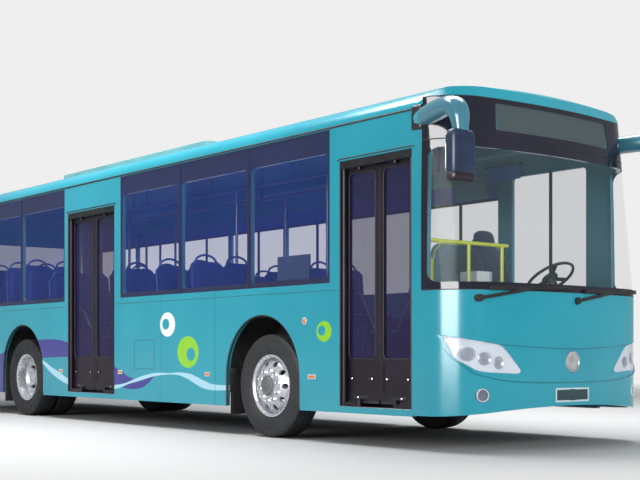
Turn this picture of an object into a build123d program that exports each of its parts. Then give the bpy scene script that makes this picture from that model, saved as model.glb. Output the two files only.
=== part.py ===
from build123d import *
from math import atan2, cos, degrees, radians, sin, sqrt, tan
import os

os.makedirs("parts", exist_ok=True)

# Low-entry city bus with two double doors on its kerb side (the -Y side).
# Frame: +X forward, +Y to the bus's left, +Z up, ground at Z = 0, all sizes in millimetres.

# ---- overall sizes ----
half_width = 1250
nose_x = 5465
tail_x = -5507
wheelbase = 5330
front_overhang = 2700
front_axle_x = nose_x - front_overhang
rear_axle_x = front_axle_x - wheelbase
skirt_z = 285
roof_z = 3050
gutter_z = roof_z - 210
brow_z = roof_z - 120
roof_bow_drop = 60
cant_radius = 170

# ---- plan of the body: a bowed nose with large corners and a flat tail with small ones ----
bow_radius = 5500
nose_corner = 450
tail_corner = 220
rake_from_z = 1350
nose_rake = 0.11
form_low_z = 100
form_high_z = roof_z + 250
section_overrun = 100
section_margin = 0.5
brow_side_room = 80
brow_depth = 150
brow_cuts = [
    # height where the cut meets the nose, its angle from upright
    (roof_z - 118, 26),
    (roof_z - 50, 57),
]

# ---- shell ----
wall = 50
rebate = 10
glass_reveal = 2
glass_seat = 0.3
running_gap = 6

# ---- wheels and the arches and boxes around them ----
tyre_radius = 500
tyre_width = 254
rim_radius = 286
hub_z = tyre_radius
front_wheel_y = half_width - 165
rear_outer_y = front_wheel_y
twin_spacing = 290
rear_inner_y = rear_outer_y - twin_spacing
kingpin_y = front_wheel_y - 170
arch_radius = tyre_radius + 100
arch_z = hub_z + 85
arch_setback = 75
front_arch_x = front_axle_x - arch_setback
box_high_z = arch_z + arch_radius
box_low_z = 420
box_round = 250
front_box = (front_arch_x - arch_radius, front_arch_x + arch_radius + 90)
front_box_inner = half_width - 650
rear_box_half = arch_radius + 40
rear_box_inner = half_width - 630

# ---- doorways and their inward-gliding leaves ----
mask_back_x = nose_x - 670
front_portal_width = 930
middle_portal_width = 1140
middle_portal_lead = 1270
front_portal = (mask_back_x - front_portal_width, mask_back_x)
middle_portal = (rear_axle_x + middle_portal_lead, rear_axle_x + middle_portal_lead + middle_portal_width)
portal_low_z = 340
portal_high_z = roof_z - 530
rail_inset = 30
column_radius = 20
column_from_jamb = 30
column_end_gap = 0.4
leaf_offset = 45
leaf_thickness = 36
leaf_low_z = portal_low_z + 60
leaf_high_z = portal_high_z - 70
leaf_light_low = 765
leaf_back_edge = 10
leaf_lead = 20
leaf_meeting_gap = 16
leaf_frame = 46
leaf_glass = 6
leaf_recess = 5
arm_height = 30
arm_half_width = 17
arm_low_z = portal_low_z + 12
arm_high_z = leaf_high_z + 8
pivot_pin = 9
pivot_clearance = 0.05
lug_height = 30
header_thickness = 7
rail_y = -(half_width - rail_inset)

# ---- side glazing ----
glass_low_z = 1446
glass_high_z = gutter_z - 14
light_low_z = glass_low_z + 54
light_high_z = glass_high_z - 206
glass_joint = 8
post_half = 35
light_corner = 45
front_band = (middle_portal[1] + 138, front_portal[0] - 138)
rear_band = (tail_x + 472, middle_portal[0] - 87)
driver_glass = (mask_back_x - 1115, mask_back_x - 95)
left_band = (tail_x + 472, driver_glass[0] - 120)
right_panes = 3
left_panes = 7
driver_sill_z = 1180
bar_width = 26
bar_depth = 22
transom_drop = 210

# ---- front mask ----
screen_back_x = mask_back_x + 110
screen_low_z = 1335
sign_high_z = brow_z - 5
sign_low_z = sign_high_z - 349
screen_high_z = sign_low_z - glass_joint
screen_border = 60
sign_box_half = 720
sign_box_low = sign_low_z + 64
sign_box_high = sign_high_z - 30
bumper_high_z = 565
bumper_low_z = 290
bumper_arch_rise = 80

# ---- floor and steps ----
floor_z = 800
floor_thickness = 40
tread_z = 570
tread_side = 140
sheet = 18
front_well_depth = 620
front_tread_from = 330
middle_well_depth = 700
middle_tread_from = 420
rear_deck_x = rear_axle_x - 1435
rear_deck_z = 1050
floor_front_x = nose_x - 345

# ---- running gear ----
rail_outer_y = front_box_inner - 130
rail_inner_y = rail_outer_y - 80
rail_low_z = 600
rail_front_x = nose_x - 765
rail_rear_x = tail_x + 222
cross_low_z = 700
cross_length = 60

# ---- mirrors ----
mirror_reach = 70


def plan_outline(inset, back_x, front_x, height=rake_from_z):
    """Plan of the body, drawn inset from its skin: bowed nose, large front corners, small rear ones."""
    side = half_width - inset
    bow_x = front_x - bow_radius
    corner_y = half_width - nose_corner
    corner_x = bow_x + sqrt((bow_radius - nose_corner) ** 2 - corner_y**2)
    swing = degrees(atan2(corner_y, corner_x - bow_x))
    tail_y = half_width - tail_corner
    with BuildSketch(Plane.XY.offset(height)) as plan:
        with BuildLine():
            CenterArc((bow_x, 0), bow_radius - inset, -swing, 2 * swing)
            left = CenterArc((corner_x, corner_y), nose_corner - inset, swing, 90 - swing)
            right = CenterArc((corner_x, -corner_y), nose_corner - inset, -90, 90 - swing)
            tail_left = CenterArc((back_x + tail_corner, tail_y), tail_corner - inset, 90, 90)
            tail_right = CenterArc((back_x + tail_corner, -tail_y), tail_corner - inset, 180, 90)
            Line(left @ 1, tail_left @ 0)
            Line(tail_left @ 1, tail_right @ 0)
            Line(tail_right @ 1, right @ 0)
        make_face()
    return plan.sketch


def roof_section(inset):
    """Cross-section under the bowed roof; its walls stand just outside the plan's sides."""
    side = half_width + section_margin
    bow = (side**2 + roof_bow_drop**2) / (2 * roof_bow_drop)
    bow_z = roof_z - bow
    corner_y = side - cant_radius
    corner_z = bow_z + sqrt((bow - cant_radius) ** 2 - corner_y**2)
    swing = degrees(atan2(corner_y, corner_z - bow_z))
    with BuildSketch(Plane.YZ.offset(tail_x - section_overrun)) as section:
        with BuildLine():
            CenterArc((0, bow_z), bow - inset, 90 - swing, 2 * swing)
            left = CenterArc((corner_y, corner_z), cant_radius - inset, 0, 90 - swing)
            right = CenterArc((-corner_y, corner_z), cant_radius - inset, 90 + swing, 90 - swing)
            Polyline(right @ 1, (inset - side, 0), (side - inset, 0), left @ 0)
        make_face()
    return section.sketch


def body_form(inset, stern_x=tail_x, bow_x=nose_x):
    """Solid inside the skin: upright below the rake line, with the nose leaning back above it."""
    plan = plan_outline(inset, stern_x, bow_x)
    rise = form_high_z - rake_from_z
    with BuildPart() as leaning:
        extrude(plan, amount=rise * sqrt(1 + nose_rake**2), dir=(-nose_rake, 0, 1))
        split(bisect_by=Plane.YZ, keep=Keep.TOP)
    with BuildPart() as form:
        extrude(plan, amount=rise)
        split(bisect_by=Plane.YZ, keep=Keep.BOTTOM)
        add(leaning.part)
        extrude(plan, amount=form_low_z - rake_from_z)
        length = nose_x - tail_x + 2 * section_overrun
        extrude(roof_section(inset), amount=length, mode=Mode.INTERSECT)
    return form.part


def block(x, y, z, mode=Mode.ADD):
    """Box given by its (low, high) pair along each axis."""
    with Locations(((x[0] + x[1]) / 2, (y[0] + y[1]) / 2, (z[0] + z[1]) / 2)):
        Box(x[1] - x[0], y[1] - y[0], z[1] - z[0], mode=mode)


def pane(across, up, radius=0, mode=Mode.ADD):
    """Rectangle in a sketch given by its (low, high) pair along each axis."""
    with Locations(((across[0] + across[1]) / 2, (up[0] + up[1]) / 2)):
        if radius:
            RectangleRounded(across[1] - across[0], up[1] - up[0], radius, mode=mode)
        else:
            Rectangle(across[1] - across[0], up[1] - up[0], mode=mode)


# ---- body shell and the layers its glass beds into ----
reach = half_width + wall
skin = body_form(0)
cabin_form = body_form(wall)
rebate_form = body_form(rebate)

with BuildPart() as shell:
    add(skin)
    add(cabin_form, mode=Mode.SUBTRACT)

with BuildPart() as bedding_layer:
    add(body_form(-wall))
    add(rebate_form, mode=Mode.SUBTRACT)

with BuildPart() as glass_layer:
    add(body_form(glass_reveal))
    add(rebate_form, mode=Mode.SUBTRACT)

# ---- side walls: one pressing each side from the tail joint to the windscreen post ----
rear_joint_x = tail_x + 300


def pane_joints(band, panes):
    """Places of the joints that cut a glazed band into equal panes."""
    pitch = (band[1] - band[0]) / panes
    return [band[0] + step * pitch for step in range(panes + 1)]


right_bands = (pane_joints(rear_band, right_panes), pane_joints(front_band, right_panes))
left_bands = (pane_joints(left_band, left_panes),)


def glass_lights(bands, sketch_mode):
    """Clear openings behind each pane of a glazed band, with a post at each joint."""
    for band in bands:
        for start, end in zip(band[:-1], band[1:]):
            lights = (start + post_half, end - post_half)
            pane(lights, (light_low_z, light_high_z), light_corner, mode=sketch_mode)


def wheel_arches():
    """Arched openings over both wheels, straight-sided down to the skirt."""
    for centre_x in (front_arch_x, rear_axle_x):
        with Locations((centre_x, arch_z)):
            Circle(arch_radius, mode=Mode.SUBTRACT)
        pane((centre_x - arch_radius, centre_x + arch_radius), (0, arch_z), mode=Mode.SUBTRACT)


with BuildPart() as right_bedding:
    add(bedding_layer.part)
    with BuildSketch(Plane.XZ):
        for band in right_bands:
            pane((band[0], band[-1]), (glass_low_z, glass_high_z))
    extrude(amount=reach, mode=Mode.INTERSECT)

with BuildPart() as left_bedding:
    add(bedding_layer.part)
    with BuildSketch(Plane.XZ):
        for band in left_bands:
            pane((band[0], band[-1]), (glass_low_z, glass_high_z))
        pane(driver_glass, (driver_sill_z, glass_high_z))
    extrude(amount=-reach, mode=Mode.INTERSECT)

with BuildPart() as side_panel_right:
    add(shell.part)
    with BuildSketch(Plane.XZ):
        pane((rear_joint_x, mask_back_x), (skirt_z, gutter_z))
        wheel_arches()
        glass_lights(right_bands, Mode.SUBTRACT)
        for portal in (front_portal, middle_portal):
            pane(portal, (portal_low_z, portal_high_z), mode=Mode.SUBTRACT)
    extrude(amount=reach, mode=Mode.INTERSECT)
    add(right_bedding.part, mode=Mode.SUBTRACT)

with BuildPart() as side_panel_left:
    add(shell.part)
    with BuildSketch(Plane.XZ):
        pane((rear_joint_x, mask_back_x), (skirt_z, gutter_z))
        wheel_arches()
        glass_lights(left_bands, Mode.SUBTRACT)
        driver_light = (driver_glass[0] + post_half, driver_glass[1] - post_half)
        pane(driver_light, (driver_sill_z + post_half, light_high_z), light_corner, mode=Mode.SUBTRACT)
    extrude(amount=-reach, mode=Mode.INTERSECT)
    add(left_bedding.part, mode=Mode.SUBTRACT)

# ---- side glass: panes bedded on the posts with a sealed joint between neighbours ----
with BuildPart() as right_glass:
    add(glass_layer.part)
    with BuildSketch(Plane.XZ):
        for band in right_bands:
            for start, end in zip(band[:-1], band[1:]):
                pane((start + glass_joint / 2, end - glass_joint / 2), (glass_low_z, glass_high_z))
    extrude(amount=reach, mode=Mode.INTERSECT)

with BuildPart() as left_glass:
    add(glass_layer.part)
    with BuildSketch(Plane.XZ):
        for band in left_bands:
            for start, end in zip(band[:-1], band[1:]):
                pane((start + glass_joint / 2, end - glass_joint / 2), (glass_low_z, glass_high_z))
        pane(driver_glass, (driver_sill_z, glass_high_z))
    extrude(amount=-reach, mode=Mode.INTERSECT)

with BuildPart() as side_windows:
    add(right_glass.part)
    add(left_glass.part)

# Sliding vents of the left side: a transom across each light and a bar from its middle down.
with BuildPart() as window_bars:
    add(body_form(rebate + glass_seat))
    add(body_form(rebate + bar_depth), mode=Mode.SUBTRACT)
    with BuildSketch(Plane.XZ):
        transom_z = light_high_z - transom_drop
        for band in left_bands:
            for start, end in zip(band[:-1], band[1:]):
                middle = (start + end) / 2
                ends = (start + post_half + glass_seat, end - post_half - glass_seat)
                pane(ends, (transom_z, transom_z + bar_width))
                pane((middle, middle + bar_width), (light_low_z + glass_seat, transom_z))
        middle = (driver_glass[0] + driver_glass[1]) / 2
        low_z = driver_sill_z + post_half + glass_seat
        pane((middle, middle + bar_width), (low_z, light_high_z - glass_seat))
    extrude(amount=-reach, mode=Mode.INTERSECT)

# ---- roof: from gutter to gutter, its front edge the brow over the sign ----
hatch_x = (nose_x - 4410, nose_x - 3040)
hatch_half = 330
hatch_curb = 40
hatch_curb_z = roof_z + 80
hatch_lid_z = roof_z + 175
hatch_knuckle = 12
hatch_pin = 6
hatch_pin_x = hatch_x[1] + hatch_curb + hatch_knuckle + 2
hatch_gap = 5
hatch_pin_z = hatch_curb_z + hatch_gap / 2
hatch_hinge_y = (-220, 220)
knuckle_half = 40
strap_half = 28


def hinge_lugs(pin_x, pin_z, knuckle, pin, centres, foot_x, foot_z):
    """Bored lugs either side of each hinge strap, with a foot running down or up to what carries them."""
    for centre_y in centres:
        for inner, outer in ((-knuckle_half, -strap_half - 1), (strap_half + 1, knuckle_half)):
            with BuildSketch(Plane.XZ.offset(-centre_y - outer)) as lug:
                with Locations((pin_x, pin_z)):
                    Circle(knuckle)
                pane(foot_x, foot_z)
                with Locations((pin_x, pin_z)):
                    Circle(pin + pivot_clearance, mode=Mode.SUBTRACT)
            extrude(lug.sketch, amount=outer - inner)


brow_trims = []
for start_z, draft in brow_cuts:
    base_z = start_z - brow_depth
    flare = brow_depth * tan(radians(draft)) + brow_side_room
    front_x = nose_x - nose_rake * (start_z - rake_from_z) - brow_side_room
    with BuildPart() as hood:
        outline = plan_outline(-flare, tail_x, front_x, base_z)
        extrude(outline, amount=roof_z + section_overrun - base_z, taper=draft)
    with BuildPart() as brow_trim:
        beyond = reach + wall
        block((nose_x - 2 * nose_corner, nose_x + wall), (-beyond, beyond), (brow_z - 1, form_high_z))
        add(hood.part, mode=Mode.SUBTRACT)
    brow_trims.append(brow_trim.part)

with BuildPart() as roof_panel:
    add(shell.part)
    with BuildSketch(Plane.XZ):
        pane((tail_x - wall, nose_x + wall), (gutter_z, form_high_z))
        pane((mask_back_x, nose_x + wall), (gutter_z, brow_z), mode=Mode.SUBTRACT)
    extrude(amount=reach, both=True, mode=Mode.INTERSECT)
    with BuildSketch(Plane.XY.offset(roof_z - wall)):
        curb_x = (hatch_x[0] - hatch_curb, hatch_x[1] + hatch_curb)
        pane(curb_x, (-hatch_half - hatch_curb, hatch_half + hatch_curb))
    extrude(amount=hatch_curb_z - roof_z + wall)
    foot_x = (curb_x[1] - 1, hatch_pin_x + hatch_knuckle)
    foot_z = (hatch_pin_z - 3 * hatch_knuckle, hatch_pin_z)
    hinge_lugs(hatch_pin_x, hatch_pin_z, hatch_knuckle, hatch_pin, hatch_hinge_y, foot_x, foot_z)
    with BuildSketch(Plane.XY.offset(gutter_z)):
        pane(hatch_x, (-hatch_half, hatch_half))
    extrude(amount=form_high_z - gutter_z, mode=Mode.SUBTRACT)
    for brow_trim_part in brow_trims:
        add(brow_trim_part, mode=Mode.SUBTRACT)

# ---- front mask and bumper, split along a shallow smile ----
seam_rise = 72
lamp_outline = [
    # distance in from the side, height
    (25, 960),
    (166, 925),
    (438, 882),
    (672, 640),
    (222, 662),
    (74, 773),
]
fog_y = half_width - 257
fog_z = 472
fog_radius = 58


def front_split(low_side):
    """Half of the nose elevation above or below the smile seam between mask and bumper."""
    with BuildSketch(Plane.YZ.offset(mask_back_x)) as half:
        with BuildLine():
            ends = ((reach, bumper_high_z + seam_rise), (-reach, bumper_high_z + seam_rise))
            ThreePointArc(ends[0], (0, bumper_high_z), ends[1])
            far_z = form_low_z if low_side else form_high_z
            Polyline(ends[1], (-reach, far_z), (reach, far_z), ends[0])
        make_face()
    return half.sketch


with BuildPart() as front_bedding:
    add(bedding_layer.part)
    with BuildSketch(Plane.XZ):
        pane((screen_back_x, nose_x), (screen_low_z, sign_high_z))
    extrude(amount=reach, both=True, mode=Mode.INTERSECT)

with BuildPart() as lamp_prisms:
    for side in (-1, 1):
        with BuildSketch(Plane.YZ.offset(mask_back_x)):
            with BuildLine():
                Polyline(*[(side * (half_width - inward), z) for inward, z in lamp_outline], close=True)
            make_face()
        extrude(amount=nose_x - mask_back_x + wall)

with BuildPart() as front_mask:
    add(shell.part)
    extrude(front_split(False), amount=nose_x - mask_back_x + wall, mode=Mode.INTERSECT)
    add(front_bedding.part, mode=Mode.SUBTRACT)
    with BuildSketch(Plane.XZ):
        pane((mask_back_x, nose_x + wall), (brow_z, form_high_z))
        clear = (screen_low_z + screen_border, screen_high_z - screen_border)
        pane((screen_back_x + screen_border, nose_x + wall), clear)
    extrude(amount=reach, both=True, mode=Mode.SUBTRACT)
    with BuildSketch(Plane.YZ.offset(mask_back_x)):
        pane((-sign_box_half, sign_box_half), (sign_box_low, sign_box_high))
    extrude(amount=nose_x - mask_back_x, mode=Mode.SUBTRACT)
    add(lamp_prisms.part, mode=Mode.SUBTRACT)

with BuildPart() as front_bumper:
    add(shell.part)
    extrude(front_split(True), amount=nose_x - mask_back_x + wall, mode=Mode.INTERSECT)
    with BuildSketch(Plane.YZ.offset(mask_back_x)):
        with BuildLine():
            Polyline((reach, bumper_low_z), (reach, 0), (-reach, 0), (-reach, bumper_low_z))
            ThreePointArc((-reach, bumper_low_z), (0, bumper_low_z + bumper_arch_rise), (reach, bumper_low_z))
        make_face()
        with Locations((fog_y, fog_z), (-fog_y, fog_z)):
            Circle(fog_radius)
    extrude(amount=nose_x - mask_back_x + wall, mode=Mode.SUBTRACT)

with BuildPart() as windscreen:
    add(glass_layer.part)
    with BuildSketch(Plane.XZ):
        pane((screen_back_x, nose_x), (screen_low_z, screen_high_z))
        pane((screen_back_x, nose_x), (sign_low_z, sign_high_z))
    extrude(amount=reach, both=True, mode=Mode.INTERSECT)

# Blank display box bedded in the mask behind the sign glass.
sign_box_depth = 420
with BuildPart() as destination_sign:
    add(body_form(rebate + glass_seat))
    with BuildSketch(Plane.YZ.offset(nose_x - sign_box_depth)):
        pane((glass_seat - sign_box_half, sign_box_half - glass_seat), (sign_box_low, sign_box_high))
    extrude(amount=sign_box_depth, mode=Mode.INTERSECT)

# ---- lamps ----
lens_inset = 4
with BuildPart() as lens_layer:
    add(body_form(lens_inset))
    add(cabin_form, mode=Mode.SUBTRACT)

with BuildPart() as headlamps:
    add(lens_layer.part)
    add(lamp_prisms.part, mode=Mode.INTERSECT)

with BuildPart() as fog_lamps:
    add(lens_layer.part)
    with BuildSketch(Plane.YZ.offset(mask_back_x)):
        with Locations((fog_y, fog_z), (-fog_y, fog_z)):
            Circle(fog_radius - glass_seat)
    extrude(amount=nose_x - mask_back_x, mode=Mode.INTERSECT)

# ---- wipers: bossed pivots below the screen, each arm and blade following its curve ----
wiper_lift = 26
wiper_gap = 4
wiper_boss = 30
wiper_arm = 26
wiper_blade = 34
wipers_set = [
    # pivot y, pivot z, blade from y, blade to y, blade from z, blade to z
    (-1030, 1262, -930, 20, 1345, 1372),
    (60, 1262, 160, 1090, 1345, 1372),
]
with BuildPart() as wipers:
    add(body_form(-wiper_lift))
    add(body_form(-wiper_gap), mode=Mode.SUBTRACT)
    with BuildSketch(Plane.YZ.offset(mask_back_x)):
        for pivot_y, pivot_z, from_y, to_y, from_z, to_z in wipers_set:
            middle_of_blade = ((from_y + to_y) / 2, (from_z + to_z) / 2)
            SlotCenterPoint(middle_of_blade, (to_y, to_z), wiper_blade)
            SlotCenterPoint(
                ((pivot_y + middle_of_blade[0]) / 2, (pivot_z + middle_of_blade[1]) / 2),
                middle_of_blade,
                wiper_arm,
            )
            with Locations((pivot_y, pivot_z)):
                Circle(wiper_boss)
    extrude(amount=nose_x - mask_back_x + wall, mode=Mode.INTERSECT)

with BuildPart() as wiper_bosses:
    add(body_form(-wiper_gap - 1))
    add(skin, mode=Mode.SUBTRACT)
    with BuildSketch(Plane.YZ.offset(mask_back_x)):
        for row in wipers_set:
            with Locations(row[:2]):
                Circle(wiper_boss)
    extrude(amount=nose_x - mask_back_x + wall, mode=Mode.INTERSECT)

with BuildPart() as wipers_whole:
    add(wipers.part)
    add(wiper_bosses.part)

# ---- tail: engine lid opening, rear window, bumper ----
lid_half = half_width - 450
lid_low_z = 620
lid_high_z = 1420
lid_thickness = 30
rear_glass_half = half_width - 300
rear_glass_low = 1640
rear_glass_high = roof_z - 490
lamp_y = (half_width - 240, half_width - 120)
lamp_z = (900, 1400)
bumper_reach = 28
rear_bumper_z = 560

lid_pin = 8
lid_knuckle = 13
lid_hinge_x = tail_x - lid_knuckle - 1
lid_hinge_z = lid_high_z + running_gap / 2
lid_hinge_y = (280 - lid_half, lid_half - 280)

with BuildPart() as rear_bedding:
    add(bedding_layer.part)
    with BuildSketch(Plane.YZ.offset(rear_joint_x)):
        pane((-rear_glass_half, rear_glass_half), (rear_glass_low, rear_glass_high))
    extrude(amount=-300 - wall, mode=Mode.INTERSECT)

with BuildPart() as rear_panel:
    add(shell.part)
    with BuildSketch(Plane.XZ):
        pane((tail_x - wall, rear_joint_x), (rear_bumper_z, gutter_z))
    extrude(amount=reach, both=True, mode=Mode.INTERSECT)
    with BuildSketch(Plane.YZ.offset(rear_joint_x)):
        lid_room = lid_half + running_gap
        pane((-lid_room, lid_room), (lid_low_z - running_gap, lid_high_z + running_gap))
        light_half = rear_glass_half - screen_border
        pane((-light_half, light_half), (rear_glass_low + screen_border, rear_glass_high - screen_border), 60)
        pane(lamp_y, lamp_z)
        pane((-lamp_y[1], -lamp_y[0]), lamp_z)
    extrude(amount=-300 - wall, mode=Mode.SUBTRACT)
    add(rear_bedding.part, mode=Mode.SUBTRACT)
    foot_x = (lid_hinge_x - lid_knuckle, tail_x + 1)
    foot_z = (lid_hinge_z, lid_hinge_z + 3 * lid_knuckle)
    hinge_lugs(lid_hinge_x, lid_hinge_z, lid_knuckle, lid_pin, lid_hinge_y, foot_x, foot_z)

with BuildPart() as rear_window:
    add(glass_layer.part)
    with BuildSketch(Plane.YZ.offset(rear_joint_x)):
        pane((-rear_glass_half, rear_glass_half), (rear_glass_low, rear_glass_high))
    extrude(amount=-300 - wall, mode=Mode.INTERSECT)

with BuildPart() as tail_lamps:
    add(shell.part)
    with BuildSketch(Plane.YZ.offset(rear_joint_x)):
        for side in (-1, 1):
            ends = sorted((side * (lamp_y[0] + glass_seat), side * (lamp_y[1] - glass_seat)))
            pane(ends, (lamp_z[0] + glass_seat, lamp_z[1] - glass_seat))
    extrude(amount=-300 - wall, mode=Mode.INTERSECT)

with BuildPart() as rear_bumper:
    add(body_form(0, tail_x - bumper_reach))
    add(body_form(wall), mode=Mode.SUBTRACT)
    with BuildSketch(Plane.XZ):
        pane((tail_x - wall, rear_joint_x), (skirt_z, rear_bumper_z))
    extrude(amount=reach, both=True, mode=Mode.INTERSECT)

# Engine lid: louvred door hung from two knuckles at its top edge.
louvre_count = 9
louvre_pitch = 60
louvre_height = 22
louvre_half = lid_half - 180

with BuildPart() as engine_lid:
    with BuildSketch(Plane.YZ.offset(tail_x)):
        pane((-lid_half, lid_half), (lid_low_z, lid_high_z), 25)
        with Locations((0, (lid_low_z + lid_high_z) / 2)):
            with GridLocations(0, louvre_pitch, 1, louvre_count):
                Rectangle(2 * louvre_half, louvre_height, mode=Mode.SUBTRACT)
    extrude(amount=lid_thickness)
    for hinge_y in lid_hinge_y:
        with BuildSketch(Plane.XZ.offset(-hinge_y - strap_half)):
            with Locations((lid_hinge_x, lid_hinge_z)):
                Circle(lid_knuckle)
            pane((lid_hinge_x - lid_knuckle, tail_x), (lid_hinge_z - 3 * lid_knuckle, lid_hinge_z))
        extrude(amount=2 * strap_half)
        with BuildSketch(Plane.XZ.offset(-hinge_y - knuckle_half)):
            with Locations((lid_hinge_x, lid_hinge_z)):
                Circle(lid_pin)
        extrude(amount=2 * knuckle_half)

# ---- doors: rotating columns whose arms swing each leaf inward while it turns edge-on ----
panel_outer = rail_y + leaf_offset - leaf_thickness / 2
doors = [("front", front_portal), ("middle", middle_portal)]
posts = [("aft", 0, 1), ("fore", 1, -1)]
for door, portal in doors:
    for place, jamb, way in posts:
        column_x = portal[jamb] + way * column_from_jamb
        leaf_run = (portal[1] - portal[0]) / 2 - column_from_jamb - leaf_meeting_gap / 2
        arm = (leaf_run - leaf_lead) / 2
        pivot_x = column_x + way * arm
        with BuildPart() as door_column:
            with BuildSketch(Plane.XY.offset(portal_low_z + column_end_gap)):
                with Locations((column_x, rail_y)):
                    Circle(column_radius)
            extrude(amount=portal_high_z - portal_low_z - 2 * column_end_gap)
            for low_z in (arm_low_z, arm_high_z):
                with BuildSketch(Plane.XY.offset(low_z)):
                    with Locations(((column_x + pivot_x) / 2, rail_y)):
                        SlotCenterToCenter(arm, 2 * arm_half_width)
                    with Locations((pivot_x, rail_y)):
                        Circle(pivot_pin + pivot_clearance, mode=Mode.SUBTRACT)
                extrude(amount=arm_height)
        door_column.part.label = f"door_column_{door}_{place}"
        export_step(door_column.part, f"parts/door_column_{door}_{place}.step")

        edges = sorted((column_x - way * leaf_back_edge, column_x + way * leaf_run))
        light = (edges[0] + leaf_frame, edges[1] - leaf_frame)
        light_z = (leaf_light_low, leaf_high_z - leaf_frame)
        with BuildPart() as door_leaf:
            with BuildSketch(Plane.XZ.offset(-panel_outer)):
                pane(edges, (leaf_low_z, leaf_high_z), 12)
                pane(light, light_z, light_corner, mode=Mode.SUBTRACT)
            extrude(amount=-leaf_thickness)
            with BuildSketch(Plane.XZ.offset(-panel_outer)):
                pane(light, (leaf_low_z + 1.6 * leaf_frame, leaf_light_low - leaf_frame))
            extrude(amount=-leaf_recess, mode=Mode.SUBTRACT)
            lug_low = arm_low_z + arm_height + 1
            lug_high = arm_high_z - 1 - lug_height
            for low_z in (lug_low, lug_high):
                with BuildSketch(Plane.XY.offset(low_z)):
                    with Locations((pivot_x, rail_y)):
                        Circle(arm_half_width)
                    pane((pivot_x - arm_half_width, pivot_x + arm_half_width), (rail_y, panel_outer + 8))
                extrude(amount=lug_height)
            for low_z, high_z in ((arm_low_z, lug_low), (lug_high + lug_height, arm_high_z + arm_height)):
                with BuildSketch(Plane.XY.offset(low_z)):
                    with Locations((pivot_x, rail_y)):
                        Circle(pivot_pin)
                extrude(amount=high_z - low_z)
        door_leaf.part.label = f"door_leaf_{door}_{place}"
        export_step(door_leaf.part, f"parts/door_leaf_{door}_{place}.step")

        seat = glass_seat
        with BuildPart() as door_glass:
            with BuildSketch(Plane.XZ.offset(-panel_outer - (leaf_thickness - leaf_glass) / 2)):
                inner = ((light[0] + seat, light[1] - seat), (light_z[0] + seat, light_z[1] - seat))
                pane(inner[0], inner[1], light_corner - seat)
            extrude(amount=-leaf_glass)
        door_glass.part.label = f"door_glass_{door}_{place}"
        export_step(door_glass.part, f"parts/door_glass_{door}_{place}.step")

# Dark header strip of each doorway, flush with the wall outside the arms.
with BuildPart() as door_headers:
    for door, portal in doors:
        header_y = (-half_width, header_thickness - half_width)
        block((portal[0] + glass_seat, portal[1] - glass_seat), header_y, (leaf_high_z, portal_high_z - glass_seat))

# ---- step wells: two treads each, with deep pockets beside the upper one for the open leaves ----
wells = [
    # doorway, depth inward from the door rail, where the upper tread starts
    (front_portal, front_well_depth, front_tread_from),
    (middle_portal, middle_well_depth, middle_tread_from),
]
floor_low_z = floor_z - floor_thickness
well_outer_y = wall - half_width
with BuildPart() as step_wells:
    for portal, depth, tread_from in wells:
        inner_y = rail_y + depth
        well_x = (portal[0] - sheet, portal[1] + sheet)
        block(well_x, (well_outer_y, inner_y + sheet), (portal_low_z - sheet, floor_low_z))
    for portal, depth, tread_from in wells:
        inner_y = rail_y + depth
        block(portal, (well_outer_y, inner_y), (portal_low_z, floor_low_z), Mode.SUBTRACT)
        tread_x = (portal[0] + tread_side, portal[1] - tread_side)
        block(tread_x, (rail_y + tread_from, inner_y), (portal_low_z, tread_z))
        hollow_x = (tread_x[0] + sheet, tread_x[1] - sheet)
        hollow_y = (rail_y + tread_from + sheet, inner_y + sheet)
        block(hollow_x, hollow_y, (portal_low_z - sheet, tread_z - sheet), Mode.SUBTRACT)

# ---- wheel boxes over the four wheels ----
boxes = [
    # x from, x to, inner face y
    (front_box[0], front_box[1], front_box_inner),
    (rear_axle_x - rear_box_half, rear_axle_x + rear_box_half, rear_box_inner),
]
axle_gap_half = 330
axle_gap_high = hub_z + 140
with BuildPart() as wheel_boxes:
    for x_from, x_to, inner_y in boxes:
        for way in (-1, 1):
            outer_y = half_width - wall
            with BuildSketch(Plane.XZ.offset(way * outer_y)) as outside:
                pane((x_from, x_to), (box_low_z, box_high_z))
                fillet(outside.vertices().group_by(Axis.Y)[-1], box_round)
            extrude(amount=-way * (outer_y - inner_y))
    for x_from, x_to, inner_y in boxes:
        for way in (-1, 1):
            outer_y = half_width - wall
            with BuildSketch(Plane.XZ.offset(way * outer_y)) as inside:
                pane((x_from + sheet, x_to - sheet), (box_low_z, box_high_z - sheet))
                fillet(inside.vertices().group_by(Axis.Y)[-1], box_round - sheet)
            extrude(amount=-way * (outer_y - inner_y - sheet), mode=Mode.SUBTRACT)
    for axle_x in (front_axle_x, rear_axle_x):
        axle_gap = (axle_x - axle_gap_half, axle_x + axle_gap_half)
        block(axle_gap, (-reach, reach), (box_low_z, axle_gap_high), Mode.SUBTRACT)

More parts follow.
